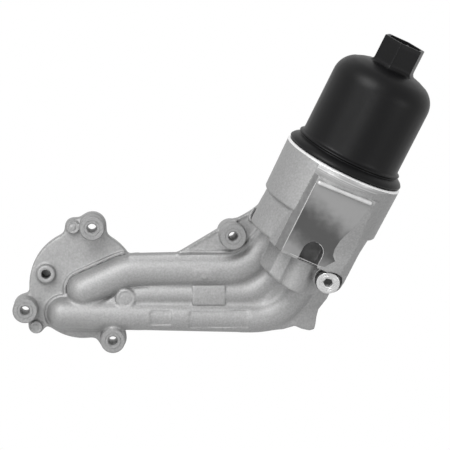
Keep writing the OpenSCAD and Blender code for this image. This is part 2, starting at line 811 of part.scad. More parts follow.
// Perforated tube that keeps the paper from folding inwards
module filter_core() {
  tall = element_top - element_bottom - 2 * disc_t;
  color([0.3, 0.3, 0.32]) in_bowl() translate([0, 0, element_bottom + disc_t]) difference() {
    cylinder(h = tall, r = core_r);
    translate([0, 0, -1]) cylinder(h = tall + 2, r = core_r - core_wall);
    for (k = [1:core_rows], a = [0:60:120]) rotate(a + 30 * (k % 2))
      translate([0, 0, k * tall / (core_rows + 1)]) rotate([90, 0, 0])
        cylinder(h = 2 * core_r + 2, r = 2.4, center = true);
  }
}

module filter_bottom_seal() {
  color([0.1, 0.1, 0.1]) in_bowl() translate([0, 0, element_bottom]) difference() {
    cylinder(h = disc_t + 1, r = standpipe_r + 2);
    translate([0, 0, -1]) cylinder(h = disc_t + 3, r = standpipe_r + slip);
  }
}

module screw_plug() {
  color("gainsboro") in_bowl() at_plug() difference() {
    union() {
      translate([0, 0, plug_foot]) cylinder(h = plug_head_h - 0.6, r = plug_head_r);
      translate([0, 0, plug_foot + plug_head_h - 0.6])
        cylinder(h = 0.6, r1 = plug_head_r, r2 = plug_head_r - 0.6);
      translate([0, 0, -plug_shank_h]) cylinder(h = plug_shank_h + plug_foot + 1, r = plug_shank_r);
    }
    translate([0, 0, plug_foot + plug_head_h - plug_socket_h])
      cylinder(h = plug_socket_h + 1, r = plug_socket_af / sqrt(3), $fn = 6);
    translate([0, 0, plug_foot + plug_head_h - 0.5]) cylinder(h = 1, r = plug_socket_af / 2 + 1.6);
  }
}

module plug_seal() {
  color([0.1, 0.1, 0.1]) in_bowl() at_plug() translate([0, 0, plug_seal_d / 2 - plug_seal_sink])
    rotate_extrude() translate([plug_head_r - plug_seal_d / 2, 0]) circle(d = plug_seal_d);
}

housing_casting();
inlet_port_seal();
outlet_port_seal();
return_port_seal();
standpipe();
check_valve_seat();
check_valve_disc();
check_valve_spring();
check_valve_cage();
filter_cap();
cap_seal();
bypass_poppet();
bypass_spring();
bypass_cage();
filter_pleats();
filter_top_disc();
filter_bottom_disc();
filter_core();
filter_bottom_seal();
screw_plug();
plug_seal();
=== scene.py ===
# %% [markdown]
# # Oil filter bracket
# A die-cast aluminium bracket bolts to an engine by its round flange. Two wide oil passages run
# from the flange to a tilted bowl, and a black moulded cap closes the bowl over a paper filter.
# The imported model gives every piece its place, and this script only adds looks to it.

import itertools
import math

import bmesh
import bpy
import numpy as np
from mathutils import Matrix, Vector


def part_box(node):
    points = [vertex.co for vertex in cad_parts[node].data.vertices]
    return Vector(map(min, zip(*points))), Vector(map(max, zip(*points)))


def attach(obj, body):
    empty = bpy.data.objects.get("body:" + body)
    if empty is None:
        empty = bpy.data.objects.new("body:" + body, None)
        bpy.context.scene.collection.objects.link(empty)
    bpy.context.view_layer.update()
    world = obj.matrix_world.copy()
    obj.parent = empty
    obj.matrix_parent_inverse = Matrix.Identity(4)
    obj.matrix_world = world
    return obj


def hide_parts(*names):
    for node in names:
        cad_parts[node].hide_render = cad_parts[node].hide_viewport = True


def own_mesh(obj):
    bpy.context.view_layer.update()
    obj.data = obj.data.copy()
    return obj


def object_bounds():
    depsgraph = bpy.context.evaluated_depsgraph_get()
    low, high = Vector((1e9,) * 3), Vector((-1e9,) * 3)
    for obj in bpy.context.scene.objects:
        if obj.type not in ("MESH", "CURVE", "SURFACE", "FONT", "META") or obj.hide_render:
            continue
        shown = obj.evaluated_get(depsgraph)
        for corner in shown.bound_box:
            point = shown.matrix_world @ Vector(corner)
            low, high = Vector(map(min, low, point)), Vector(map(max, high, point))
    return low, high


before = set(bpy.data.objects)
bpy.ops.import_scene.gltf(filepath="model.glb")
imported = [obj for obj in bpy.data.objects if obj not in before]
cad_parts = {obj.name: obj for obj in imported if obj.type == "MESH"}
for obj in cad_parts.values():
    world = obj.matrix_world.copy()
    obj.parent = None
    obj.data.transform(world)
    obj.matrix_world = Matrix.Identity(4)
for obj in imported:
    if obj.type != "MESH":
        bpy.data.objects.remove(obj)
cad_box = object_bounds()
MM = 0.001

# %% [markdown]
# ## Camera
# The camera stands 1.35 m away with a long lens, so that the bracket hardly converges. It looks
# slightly down and a little from the left, which shows the cap's flange as a thin ellipse.

# %% Place the camera
LENS, SENSOR, NEAR, FAR_AWAY = 152.0, 36.0, 0.05, 20.0
CAMERA_AT = (0.0107, -1.337, 0.183)


def add_object(name, data):
    thing = bpy.data.objects.new(name, data)
    bpy.context.scene.collection.objects.link(thing)
    return thing


camera = add_object("camera", bpy.data.cameras.new("camera"))
camera.data.lens, camera.data.sensor_width = LENS, SENSOR
camera.data.clip_start, camera.data.clip_end = NEAR, FAR_AWAY
right = Vector((0.9977, -0.0680, 0.0)).normalized()
ahead = Vector((0.0676, 0.9920, -0.1063)).normalized()
turn = Matrix((right, right.cross(ahead), -ahead)).transposed().to_4x4()
camera.matrix_world = Matrix.Translation(CAMERA_AT) @ turn
bpy.context.scene.camera = camera
bpy.context.scene.view_settings.view_transform = "Standard"
print("camera at", tuple(round(c, 3) for c in camera.location))

# %% [markdown]
# ## Nodes and colours
# A material is a graph of nodes. One helper adds a node, sets its inputs and makes its links,
# and another turns the hex colours that people read off a screen into linear light.

# %% Helpers for materials
def linear(hex_colour):
    parts = [int(hex_colour[i:i + 2], 16) / 255 for i in (1, 3, 5)]
    return [p / 12.92 if p <= 0.04045 else ((p + 0.055) / 1.055) ** 2.4 for p in parts] + [1.0]


def add_node(tree, kind, inputs=None, **settings):
    node = tree.nodes.new(kind)
    for name, value in settings.items():
        setattr(node, name, value)
    for name, value in (inputs or {}).items():
        socket = node.inputs[name]
        if isinstance(value, bpy.types.NodeSocket):
            tree.links.new(value, socket)
        else:
            socket.default_value = value
    return node


def calculate(tree, operation, *values, **settings):
    """The result of a math node."""
    return add_node(tree, "ShaderNodeMath", dict(enumerate(values)), operation=operation,
                    **settings).outputs[0]


def new_material(name):
    material = bpy.data.materials.new(name)
    material.use_nodes = True
    material.node_tree.nodes.clear()
    return material, material.node_tree


print("grey reads back as", [round(c, 3) for c in linear("#808080")])

# %% [markdown]
# ## A casting from distances
# The real housing is poured in one piece, so every wall runs into the next through a rounded
# corner. Boolean solids give sharp corners. Here each wall is a distance field on a grid of
# 0.8 mm: the value is how far a point lies from its skin. Two fields are joined by a soft
# minimum, which fills the corner between them with a fillet, as the mould does.

# %% The grid of distances
STEP, MARGIN, FAR = 0.8, 4, 60.0
JOIN_REACH, CARVE_REACH = 8, 3
cast_low, cast_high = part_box("housing_casting")
grid_low = np.floor(np.array(cast_low) / MM - MARGIN)
grid_size = np.ceil((np.array(cast_high) / MM + MARGIN - grid_low) / STEP).astype(int)
steps = [(grid_low[i] + STEP * np.arange(grid_size[i])).astype(np.float32) for i in range(3)]
field = np.full(grid_size, FAR, np.float32)
print("grid:", grid_size, "cells:", field.size)


def window(low, high):
    """The slice of the grid inside a box, and the coordinates of its points."""
    cut = []
    for i in range(3):
        first = max(0, int((low[i] - grid_low[i]) / STEP) - 1)
        cut.append(slice(first, max(first + 1, int((high[i] - grid_low[i]) / STEP) + 2)))
    x, y, z = (steps[i][cut[i]] for i in range(3))
    return tuple(cut), x[:, None, None], y[None, :, None], z[None, None, :]


def soft_low(a, b, fillet):
    if fillet <= 0:
        return np.minimum(a, b)
    share = np.maximum(fillet - np.abs(a - b), 0) / fillet
    return np.minimum(a, b) - share * share * fillet / 4


def join(low, high, shape, fillet):
    cut, x, y, z = window(np.array(low) - JOIN_REACH, np.array(high) + JOIN_REACH)
    field[cut] = soft_low(field[cut], shape(x, y, z).astype(np.float32), fillet)


def carve(low, high, shape, fillet):
    cut, x, y, z = window(np.array(low) - CARVE_REACH, np.array(high) + CARVE_REACH)
    field[cut] = -soft_low(-field[cut], shape(x, y, z).astype(np.float32), fillet)


# %% [markdown]
# ## Flat outlines
# Many walls are plates: a flat outline pushed out of the mounting face. The outline's distance
# is worked out once for each column of the grid, and the plate adds the two ends to it.

# %% Distances in the plane and plates made from them
def edge_distance(a, b, u, v):
    """The squared distance to the straight edge from a to b."""
    edge = b - a
    pu, pv = u - a[0], v - a[1]
    t = np.clip((pu * edge[0] + pv * edge[1]) / (edge @ edge), 0, 1)
    return (pu - edge[0] * t) ** 2 + (pv - edge[1] * t) ** 2


def line_distance(points, u, v):
    points = np.array(points, np.float32)
    near = np.float32(np.inf)
    for a, b in zip(points[:-1], points[1:]):
        near = np.minimum(near, edge_distance(a, b, u, v))
    return np.sqrt(near)


def polygon_distance(points, u, v):
    points = np.array([*points, points[0]], np.float32)
    inside = np.zeros(np.broadcast(u, v).shape, bool)
    for a, b in zip(points[:-1], points[1:]):
        if a[1] != b[1]:
            edge = b - a
            inside ^= ((v >= min(a[1], b[1])) & (v < max(a[1], b[1]))
                       & (u - a[0] < edge[0] * (v - a[1]) / edge[1]))
    return np.where(inside, -1, 1) * line_distance(points, u, v)


def outline(points):
    return lambda u, v: polygon_distance(points, u, v)


def rounded(across, along, edge):
    a, b = across + edge, along + edge
    return np.minimum(np.maximum(a, b), 0) + np.hypot(np.maximum(a, 0), np.maximum(b, 0)) - edge


def span(low, high, value):
    return np.abs(value - (low + high) / 2) - (high - low) / 2


def disc(centre, radius):
    return lambda x, z: np.hypot(x - centre[0], z - centre[1]) - radius


def oblong(low, high, corner):
    """A flat rectangle from low to high with round corners."""
    return lambda x, z: rounded(span(low[0], high[0], x), span(low[1], high[1], z), corner)


def plate(flat, foot, top, edge, low, high, fillet):
    """A plate from foot to top in front of the mounting face; low and high are in x and z."""
    join((low[0], -top, low[1]), (high[0], -foot, high[1]),
         lambda x, y, z: rounded(flat(x, z), span(foot, top, -y), edge), fillet)


def around(centre, reach, foot, top):
    """The corners of a box round a centre, from foot to top in front of the mounting face."""
    return ((centre[0] - reach, -top, centre[1] - reach),
            (centre[0] + reach, -foot, centre[1] + reach))


def post(centre, radius, foot, top, edge, fillet):
    plate(disc(centre, radius), foot, top, edge, np.subtract(centre, radius),
          np.add(centre, radius), fillet)


def bore(centre, radius, foot, top, lip):
    carve(*around(centre, radius, foot, top),
          lambda x, y, z: np.maximum(disc(centre, radius)(x, z), span(foot, top, -y)), lip)


def ring_groove(centre, radius, half_width, foot, top, box, lip):
    """Carves a ring into a flat face; box is the reach, foot and top of the place it changes."""
    carve(*around(centre, *box), lambda x, y, z: np.maximum(
        np.abs(disc(centre, radius)(x, z)) - half_width, span(foot, top, -y)), lip)


print("5 mm from the middle of a disc of radius 4 reads", disc((0, 0), 4)(3, 4))

# %% [markdown]
# ## Flange
# The flange is a disc with an arm out to each bolt boss. The arms are joined to the disc in the
# plane with a soft minimum, so the outline swells into each boss without a corner.

# %% Flange, bolt bosses and ejector bosses
DISC, FLANGE_R, FLANGE_T = (1.6, -0.4), 38.2, 12
BOSS_R, BOSS_H, HEAD_T, BOLT_HOLE_R = 8.6, 27, 0.8, 3.2
LUGS = [(7.7, 40.9), (-39.1, -16.3), (21.7, -38.1)]
ARM_BOSS, ARM_BOSS_R, ARM_BOSS_H = (105.2, 35.4), BOSS_R + 0.7, 35
BOLT_BOSSES = [(lug, BOSS_R, BOSS_H) for lug in LUGS] + [(ARM_BOSS, ARM_BOSS_R, ARM_BOSS_H)]
COLLAR, COLLAR_H = (-24.6, 7.9), 18
SIDE_PINS = {(-5.5, 40.5): (4.6, 17), (-31.8, -29.5): (4.4, 18)}
SWELLS = [((8.3, 40.7), BOSS_R + 1), ((-38.2, -16.1), BOSS_R - 0.6),
          ((21.8, -38.3), BOSS_R + 1.2)]
SWELLS += [(pin, radius + 0.9) for pin, (radius, height) in SIDE_PINS.items()]
SWELL_FILLET = 7


def flange_outline(x, z):
    flat = disc(DISC, FLANGE_R - 0.2)(x, z)
    for centre, radius in SWELLS:
        flat = soft_low(flat, disc(centre, radius)(x, z), SWELL_FILLET)
    return flat


plate(flange_outline, -4, FLANGE_T, 0.9, (-49, -48), (41, 51), 0)
for lug in LUGS:
    post(lug, BOSS_R, -3, BOSS_H - HEAD_T, 0.3, 1.6)
for pin, (radius, height) in SIDE_PINS.items():
    post(pin, radius, 2, height, 0.9, 1.5)
post(COLLAR, 7.3, 2, FLANGE_T + 0.7, 0.6, 1)
post(COLLAR, 6.5, 2, COLLAR_H, 1.5, 0.8)
print("flange and bosses done, lowest value", field.min())

# %% [markdown]
# ## Passages
# The oil runs in two wide tubes, with a thin one between them. Each tube is the distance to a
# centre line less its radius. The centre line is a row of straight legs with arcs at the bends.

# %% Passages
DEPTH, ARC_STEPS = 17, 8
UPPER_R, LOWER_R, MIDDLE_R = 11.4, 10.4, 6.0
MIDDLE_PIN, MIDDLE_PIN_H = (30.7, -8.9), DEPTH + 7.8
WEB = [(8, -17), (30, -3), (108, 3), (132, 24), (150, 22), (150, -4), (136, -20), (112, -20)]


def bent_line(corners, bends):
    points = [np.array(corners[0], float)]
    for i in range(1, len(corners) - 1):
        before, at, after = (np.array(corners[i + k], float) for k in (-1, 0, 1))
        a, b = at - before, after - at
        a, b = a / np.linalg.norm(a), b / np.linalg.norm(b)
        angle = math.acos(np.clip(a @ b, -1, 1))
        reach = bends[i - 1] * math.tan(angle / 2)
        side = math.copysign(1, a[0] * b[1] - a[1] * b[0])
        centre = at - a * reach + side * bends[i - 1] * np.array([-a[1], a[0]])
        start = at - a * reach - centre
        for k in range(ARC_STEPS + 1):
            t = side * angle * k / ARC_STEPS
            c, s = math.cos(t), math.sin(t)
            points.append(centre + np.array([c * start[0] - s * start[1],
                                             s * start[0] + c * start[1]]))
    points.append(np.array(corners[-1], float))
    return np.array(points)


def from_line(line, depth):
    """The distance to a flat line that runs at one depth in front of the mounting face."""
    return lambda x, y, z: np.hypot(line_distance(line, x, z), y + depth)


def tube(line, radius, depth, fillet):
    line = np.array(line, float)
    low, high = line.min(0) - radius, line.max(0) + radius
    join((low[0], -depth - radius, low[1]), (high[0], -depth + radius, high[1]),
         lambda x, y, z: from_line(line, depth)(x, y, z) - radius, fillet)


def lip_outline(line, radius):
    """A raised lip on both sides of a passage, inside the flange's outline."""
    return lambda x, z: np.maximum(np.abs(line_distance(line, x, z) - radius - 1.5) - 1.0,
                                   flange_outline(x, z) + 1.2)


UPPER = bent_line([(1.1, -3.4), (33, 10.6), (113.8, 10.3), (133, 32.5), (150, 52)], [40, 28, 30])
LOWER = bent_line([(-13, -19.9), (139.3, -24.9), (163, 10.5)], [36])
MIDDLE = bent_line([(30.7, -8.9), (42, -6.8), (119, -6.6), (134, 4)], [40, 22])
near_upper, near_lower = UPPER[UPPER[:, 0] < 40], np.array([(-13, -19.9), (40, -21.6)])
for line, radius in ((near_upper, UPPER_R), (near_lower, LOWER_R)):
    low, high, core = line.min(0), line.max(0), radius - 0.8
    plate(lip_outline(line, radius), 2, FLANGE_T + 2.1, 0.9, low - 14, high + 14, 0.8)
    plate(lambda x, z: line_distance(line, x, z) - core, 2, DEPTH, 1.0, low - core, high + core,
          2.0)
tube(UPPER, UPPER_R, DEPTH, 1.2)
tube(LOWER, LOWER_R, DEPTH, 3.0)
tube(MIDDLE, MIDDLE_R, DEPTH + 1, 2.0)
plate(outline(WEB), DEPTH - 4.5, DEPTH + 4.8, 1.0, (7, -21), (151, 25), 3.0)
post(MIDDLE_PIN, 7.0, 10, MIDDLE_PIN_H, 0.9, 1.2)

# Raised blank fields on the middle and upper passages, and blank pockets in the lower one.
plate(oblong((77.2, -14), (100.4, 0.1), 0.4), DEPTH, DEPTH + MIDDLE_R + 1.6, 0.4,
      (77, -14), (101, 1), 0.4)
post((85.5, 6.8), 2.2, DEPTH, DEPTH + UPPER_R + 0.3, 0.5, 0.5)
panel = oblong((78, 3), (94.4, 11.6), 1.0)
join((78, -DEPTH - UPPER_R - 1, 3), (95, -DEPTH, 12), lambda x, y, z: np.maximum(
    panel(x, z), from_line(UPPER, DEPTH)(x, y, z) - UPPER_R - 0.4), 0.2)
for low, high in (((47.9, -27.5), (62.8, -17.4)), ((75, -30), (117.5, -18.2))):
    pocket_outline = oblong(low, high, 1.6)
    carve((low[0], -DEPTH - LOWER_R, low[1]), (high[0], -DEPTH, high[1]),
          lambda x, y, z: np.maximum(pocket_outline(x, z),
                                     LOWER_R - 0.8 - from_line(LOWER, DEPTH)(x, y, z)), 0.3)
print("passages done")

# %% [markdown]
# ## Arm, fins and beads
# A thin triangular plate carries the long bolt boss. Its rim and the walls beside the passages
# stand a millimetre or two proud, because the mould's parting face ran along them.

# %% Arm plate, fins and beads
ARM = [(34, 8), (33.4, 21.4), (66.5, 22.4), (77.8, 29.1), (90.2, 36.4), (97.8, 40.9), (99.4, 43),
       (102.4, 45.6), (109.5, 47), (114.5, 49.6), (120.2, 53.1), (123.8, 56.2), (127.7, 63.2),
       (146, 66), (146, 28), (120, 12)]
FOOT = [(112, -33), (141, -32.3), (149.7, -29.9), (154.4, -32), (160.2, -33.3), (163.4, -32.4),
        (164.4, -28.5), (165, -23.5), (166.4, -18.2), (172.4, -10.6), (175.2, -5), (172, 14),
        (150, 22), (126, -16)]
BEADS = (
    ([(67.2, 21.6), (78.3, 28.4), (90.7, 35.7), (98.5, 40.2), (100, 42.2), (102.9, 44.6),
      (109.8, 46), (114.9, 48.7), (120.7, 52.3), (124, 55)], 0.8, 5.8, 0.6),
    ([(98.7, 41.3), (100.8, 43.6), (104.5, 45.2), (108.6, 45.4)], 0.9, 7, 0.8),
    ([(69.1, 23.2), (77.3, 23.7), (93.8, 23.3), (105.3, 23.2), (111.9, 25.9), (116.8, 30),
      (120.1, 34.5), (124.6, 39.6)], 1.2, 6.6, 1.2),
    ([(120.4, 53.6), (118.3, 50), (117.4, 46.3), (119.3, 44.6)], 1.0, 6.8, 1.2),
)
plate(outline(ARM), DEPTH - 1, DEPTH + 6, 1.2, (33, 8), (147, 67), 3)
plate(outline(FOOT), DEPTH - 4.5, DEPTH + 4.5, 1.2, (111, -34), (176, 23), 2.5)
post(ARM_BOSS, ARM_BOSS_R, 0, ARM_BOSS_H - HEAD_T, 0.3, 1.0)
for points, radius, proud, fillet in BEADS:
    tube(points, radius, DEPTH + proud, fillet)
print("arm done, beads:", len(BEADS))

# %% [markdown]
# ## Filter bowl
# The bowl leans to the right and a little to the front. Its walls are worked out in its own
# frame, where z runs along the bowl's axis and is zero at the rim. A lathe profile gives the
# round walls, and polygons pushed along the axis give the pad's block and its milled face.

# %% The bowl's own frame
RIM = np.array([180.2, -50.0, 87.3])
tilt, lean = math.radians(25.4), math.radians(9)
bowl_axes = np.array([
    [math.cos(tilt), 0, -math.sin(tilt)],
    [math.sin(tilt) * math.sin(lean), math.cos(lean), math.cos(tilt) * math.sin(lean)],
    [math.sin(tilt) * math.cos(lean), -math.sin(lean), math.cos(tilt) * math.cos(lean)],
])
PAD_OUT, PAD_TURN = 38.8, math.radians(5)


def dot(p, q):
    return p[0] * q[0] + p[1] * q[1] + p[2] * q[2]


def in_frame(point):
    return RIM + np.array(point, float) @ bowl_axes


def in_bowl(action, low, high, shape, fillet):
    """Joins or carves a shape given in the bowl's frame."""
    def turned(x, y, z):
        p = [x - RIM[0], y - RIM[1], z - RIM[2]]
        return shape(*(dot(p, a) for a in bowl_axes))

    corners = [in_frame(corner) for corner in itertools.product(*zip(low, high))]
    action(np.min(corners, 0), np.max(corners, 0), turned, fillet)


def lathe(profile):
    return lambda x, y, z: polygon_distance(profile, np.hypot(x, y), z)


def turned_pad(x, y):
    """From the bowl's frame to the pad's directions: u along the pad and v into the bowl."""
    c, s = math.cos(PAD_TURN), math.sin(PAD_TURN)
    return x * c + y * s, y * c - x * s


def pad_points(u, z, deep):
    """Points so deep behind the pad's face, given in millimetres in the frame."""
    c, s = math.cos(PAD_TURN), math.sin(PAD_TURN)
    v = deep - PAD_OUT
    return RIM + np.stack(np.broadcast_arrays(u * c - v * s, u * s + v * c, z), -1) @ bowl_axes


def upright(points, foot, top, edge):
    """A prism along the bowl's axis, turned with the pad."""
    return lambda x, y, z: rounded(outline(points)(*turned_pad(x, y)), span(foot, top, z), edge)


def rod(a, b, radius, edge):
    """A round rod between two points, with flat ends."""
    a, b = np.array(a, float), np.array(b, float)
    length = np.linalg.norm(b - a)
    way = (b - a) / length

    def shape(x, y, z):
        p = [x - a[0], y - a[1], z - a[2]]
        along = dot(p, way)
        across = np.sqrt(np.maximum(dot(p, p) - along ** 2, 0))
        return rounded(across - radius, np.abs(along - length / 2) - length / 2, edge)
    return shape


def ball_rod(a, b, radius_a, radius_b):
    """A rod with round ends, which may taper."""
    a, b = np.array(a, float), np.array(b, float)
    way = b - a

    def shape(x, y, z):
        p = [x - a[0], y - a[1], z - a[2]]
        t = np.clip(dot(p, way) / (way @ way), 0, 1)
        aside = [p[i] - way[i] * t for i in range(3)]
        return np.sqrt(dot(aside, aside)) - (radius_a + (radius_b - radius_a) * t)
    return shape


print("bowl's axis:", bowl_axes[2].round(3))

# %% [markdown]
# ## Bowl walls
# The bowl is a turned wall with a swelling on its left, the pad's block, a stepped foot under
# its floor and an upright boss on the right. The two wide passages widen into it from below.

# %% Bowl walls
BORE_R, CHAMBER_R = 36.0, 33.6
VALVE_AT, VALVE_R = (15.5, 14), 8.2
RISER_R, RISER_REACH = 12.4, 13
PLUG_AT, PLUG_BOSS_R, PLUG_DIP = np.array([22.2, -29.5, -72.9]), 10.2, math.radians(12)
plug_way = np.array([0, -math.cos(PLUG_DIP), -math.sin(PLUG_DIP)])
in_bowl(join, (-44, -44, -66), (44, 44, 1), lathe([
    (0, -64.5), (34.5, -64.5), (36.4, -62.5), (38.4, -41), (39, -39.4), (41.6, -37.6),
    (42.2, -1.4), (41, -0.5), (0, -0.5)]), 3.0)
in_bowl(join, (-42, -34, -65), (-10, 34, -38), rod((-9, 0, -64.4), (-9, 0, -39.4), 30.8, 1.2), 0.6)
in_bowl(join, (-30, -42, -66), (33, -14, -8.5), upright(
    [(-29.4, -18), (-24.4, 6 - PAD_OUT), (-20.8, -PAD_OUT), (22.5, -PAD_OUT), (32, 14 - PAD_OUT),
     (20, -8)], -66.5, -8.5, 0.4), 0.5)
in_bowl(join, (-19, -26, -93), (24, 18, -60), rod((2.5, -4, -91), (2.5, -4, -60), 20, 2.5), 1.5)
in_bowl(join, (-8, -30, -91), (14, -8, -60), rod((3.2, -20.5, -90), (3.2, -20.5, -60), 9.6, 0.8),
        0.6)
in_bowl(join, (-24, -22, -92), (4, 12, -60), upright(
    [(-22, -2), (-16, -16.4), (-6.8, -19), (-5, -8), (2, 10), (-18, 12)], -89, -60, 0.8), 1.0)
in_bowl(join, (12, -28, -84), (37, -2, -34), ball_rod((24, -15, -72), (24, -15, -46), 11, 11), 2)
for end, top, radius in (((133, -DEPTH, 32.5), in_frame((-15, 16, -58)), UPPER_R),
                         ((163, -DEPTH, 10.5), in_frame((*VALVE_AT, -58)), LOWER_R)):
    join(np.minimum(end, top) - RISER_REACH, np.maximum(end, top) + RISER_REACH,
         ball_rod(end, top, radius, RISER_R), 4)
in_bowl(join, PLUG_AT - 14, PLUG_AT + 14, rod(PLUG_AT - 16 * plug_way, PLUG_AT, PLUG_BOSS_R, 0.8),
        1.5)
print("bowl done")

# %% [markdown]
# ## Machined faces and openings
# After casting, a mill cuts the pad, the ports and the bowl's bore. They are carved last, with
# hardly any fillet, because a cutter leaves a crisp edge.

# %% Carve the pad, pocket, bores and chamber
POCKET_AT, POCKET_R, POCKET_DEEP = (-0.9, -57.6), 7.0, 9
PORTS = (((14, 3.4), 6.7, 10.5, 18), ((-8, -21), 6.7, 10.5, 18), ((26, -14), 2.6, 4.8, 10))


def on_pad(shape):
    """A shape in the pad's own directions: u along it, v into the bowl, z up the axis."""
    return lambda x, y, z: shape(*turned_pad(x, y), z)


def pad_cut(u, v, z):
    profile = [(0, -80), (0, -13.2), (-3.4, -8.6), (-22, -8.6), (-22, -80)]
    return np.maximum(polygon_distance(profile, v + PAD_OUT, z), span(-20.6, 27, u))


def pad_edge(u, v, z):
    """Right of this curve the cast skin lies behind the milled plane."""
    side = np.interp(z, (-64, -57, -54, -50, -44, -38, -27, -10),
                     (18, 16, 12.6, 11.7, 12.3, 14, 18, 20))
    return np.maximum(-((u - side) * 0.36 - (v + PAD_OUT) * 0.93), span(-66, -13, z))


def pocket(u, v, z):
    arch = np.minimum(disc(POCKET_AT, POCKET_R)(u, z),
                      np.maximum(span(-7.9, 6.1, u), span(-66, POCKET_AT[1], z)))
    return np.maximum(arch, span(-60, POCKET_DEEP - PAD_OUT, v))


in_bowl(carve, (-22, -60, -66), (30, -34, -8), on_pad(pad_cut), 0.3)
in_bowl(carve, (8, -46, -67), (34, -24, -12), on_pad(pad_edge), 0.3)
in_bowl(carve, (-8, -50, -66), (13, -28, -49), on_pad(pocket), 0.5)
in_bowl(carve, (-37, -37, -48), (37, 37, 2), lathe([
    (0, -47), (CHAMBER_R, -47), (CHAMBER_R, -34.4), (BORE_R, -33.8), (BORE_R, 2), (0, 2)]), 0.3)
in_bowl(carve, (-8, -8, -56), (8, 8, -46), rod((0, 0, -55), (0, 0, -45), 7.5, 0), 0.2)
in_bowl(carve, (7, 5, -53), (25, 23, -46), rod((*VALVE_AT, -52), (*VALVE_AT, -46), VALVE_R, 0),
        0.2)
for reach, start, end, radius, lip in ((12, -22, 1, 6.0, 0.2), (18, -1.6, 14, 9.1, 0.3)):
    in_bowl(carve, PLUG_AT - reach, PLUG_AT + reach,
            rod(PLUG_AT + start * plug_way, PLUG_AT + end * plug_way, radius, 0), lip)
for boss, radius, height in BOLT_BOSSES:
    bore(boss, BOLT_HOLE_R, -2, height + 1, 0.4)
bore(COLLAR, 3.2, 4, COLLAR_H + 1, 0.8)
ring_groove(MIDDLE_PIN, 4.2, 0.5, MIDDLE_PIN_H - 0.5, MIDDLE_PIN_H + 2,
            (6, MIDDLE_PIN_H - 1, MIDDLE_PIN_H + 1), 0.4)
for pin, (radius, height) in SIDE_PINS.items():
    ring_groove(pin, 2.6, 0.5, height - 0.5, height + 2, (6, height - 1, height + 1), 0.4)
for port, radius, seal, deep in PORTS:
    bore(port, radius, -2, deep, 0.2)
    ring_groove(port, seal, 1.45, -2, 2.6, (13, -1, 3), 0.1)
cut, x, y, z = window(grid_low, grid_low + grid_size * STEP)
field[cut] = np.maximum(field, y + 0 * (x + z))
print("carved; share of the grid that is metal:", round(float((field < 0).mean()), 3))

# %% [markdown]
# ## From distances to a skin
# A cell of the grid whose corners lie on both sides of zero is crossed by the skin. It gets one
# point, at the mean of the places where its edges cross zero. Each grid edge that crosses zero
# gives a face between the four cells round it. Flat walls come out exactly flat this way.

# %% Build the casting's mesh
MOST_TRIANGLES, CAST_SMOOTH = 190000, 38


def mesh_object(name, points, faces):
    mesh = bpy.data.meshes.new(name)
    mesh.from_pydata([tuple(p) for p in points], [], [tuple(f) for f in faces])
    mesh.validate()
    mesh.polygons.foreach_set("use_smooth", [True] * len(mesh.polygons))
    return add_object(name, mesh)


def skin_of(values):
    size = np.array(values.shape) - 1
    corner = list(itertools.product((0, 1), repeat=3))
    held = [values[a:a + size[0], b:b + size[1], c:c + size[2]] for a, b, c in corner]
    below = sum((h < 0).astype(np.int8) for h in held)
    cells = np.argwhere((below > 0) & (below < 8))
    at = tuple(cells.T)
    level = np.array([h[at] for h in held])
    total, crossings = np.zeros((len(cells), 3)), np.zeros(len(cells))
    for i, a in enumerate(corner):
        for j, b in enumerate(corner):
            if i < j and sum(abs(p - q) for p, q in zip(a, b)) == 1:
                crosses = (level[i] < 0) != (level[j] < 0)
                t = np.where(crosses, level[i] / np.where(crosses, level[i] - level[j], 1), 0)
                where = np.array(a) + t[:, None] * (np.array(b) - np.array(a))
                total += where * crosses[:, None]
                crossings += crosses
    number = np.full(size, -1, np.int32)
    number[at] = np.arange(len(cells))
    faces = []
    for axis in range(3):
        u, v = (axis + 1) % 3, (axis + 2) % 3
        low = [slice(1, -1)] * 3
        low[axis] = slice(0, -1)
        high = list(low)
        high[axis] = slice(1, None)
        a, b = values[tuple(low)] < 0, values[tuple(high)] < 0
        for flip in (False, True):
            found = np.argwhere(a & ~b if flip else b & ~a)
            base = found + 1
            base[:, axis] -= 1
            ring = []
            for du, dv in ((0, 0), (-1, 0), (-1, -1), (0, -1)):
                cell = base.copy()
                cell[:, u] += du
                cell[:, v] += dv
                ring.append(number[tuple(cell.T)])
            faces.append(np.stack(ring if not flip else ring[::-1], 1))
    points = (cells + total / crossings[:, None]) * STEP + grid_low
    return points * MM, np.concatenate(faces)


def thin_out(piece, most, smooth_under):
    """Merges the triangles of flat places until at most so many are left."""
    there = sum(len(p.vertices) - 2 for p in piece.data.polygons)
    piece.modifiers.new("thin out", "DECIMATE").ratio = min(1, most / there)
    evaluated = piece.evaluated_get(bpy.context.evaluated_depsgraph_get())
    thinner = bpy.data.meshes.new_from_object(evaluated)
    piece.modifiers.clear()
    piece.data = thinner
    thinner.polygons.foreach_set("use_smooth", [True] * len(thinner.polygons))
    thinner.set_sharp_from_angle(angle=math.radians(smooth_under))


cast_points, cast_faces = skin_of(field)
housing = mesh_object("cast_housing", cast_points, cast_faces)
thin_out(housing, MOST_TRIANGLES, CAST_SMOOTH)
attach(housing, "housing")
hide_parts("housing_casting")
print("casting:", len(cast_points), "points,", len(cast_faces), "faces")

# %% [markdown]
# ## Turned and moulded pieces
# A loft lays a skin over a row of rings that all have the same number of points. A turned piece
# is a loft whose rings are circles. These give the crisp edges that a grid of 0.8 mm can't hold.

# %% Lofts, and the faces that the machine cut on the casting
RING_POINTS = 96


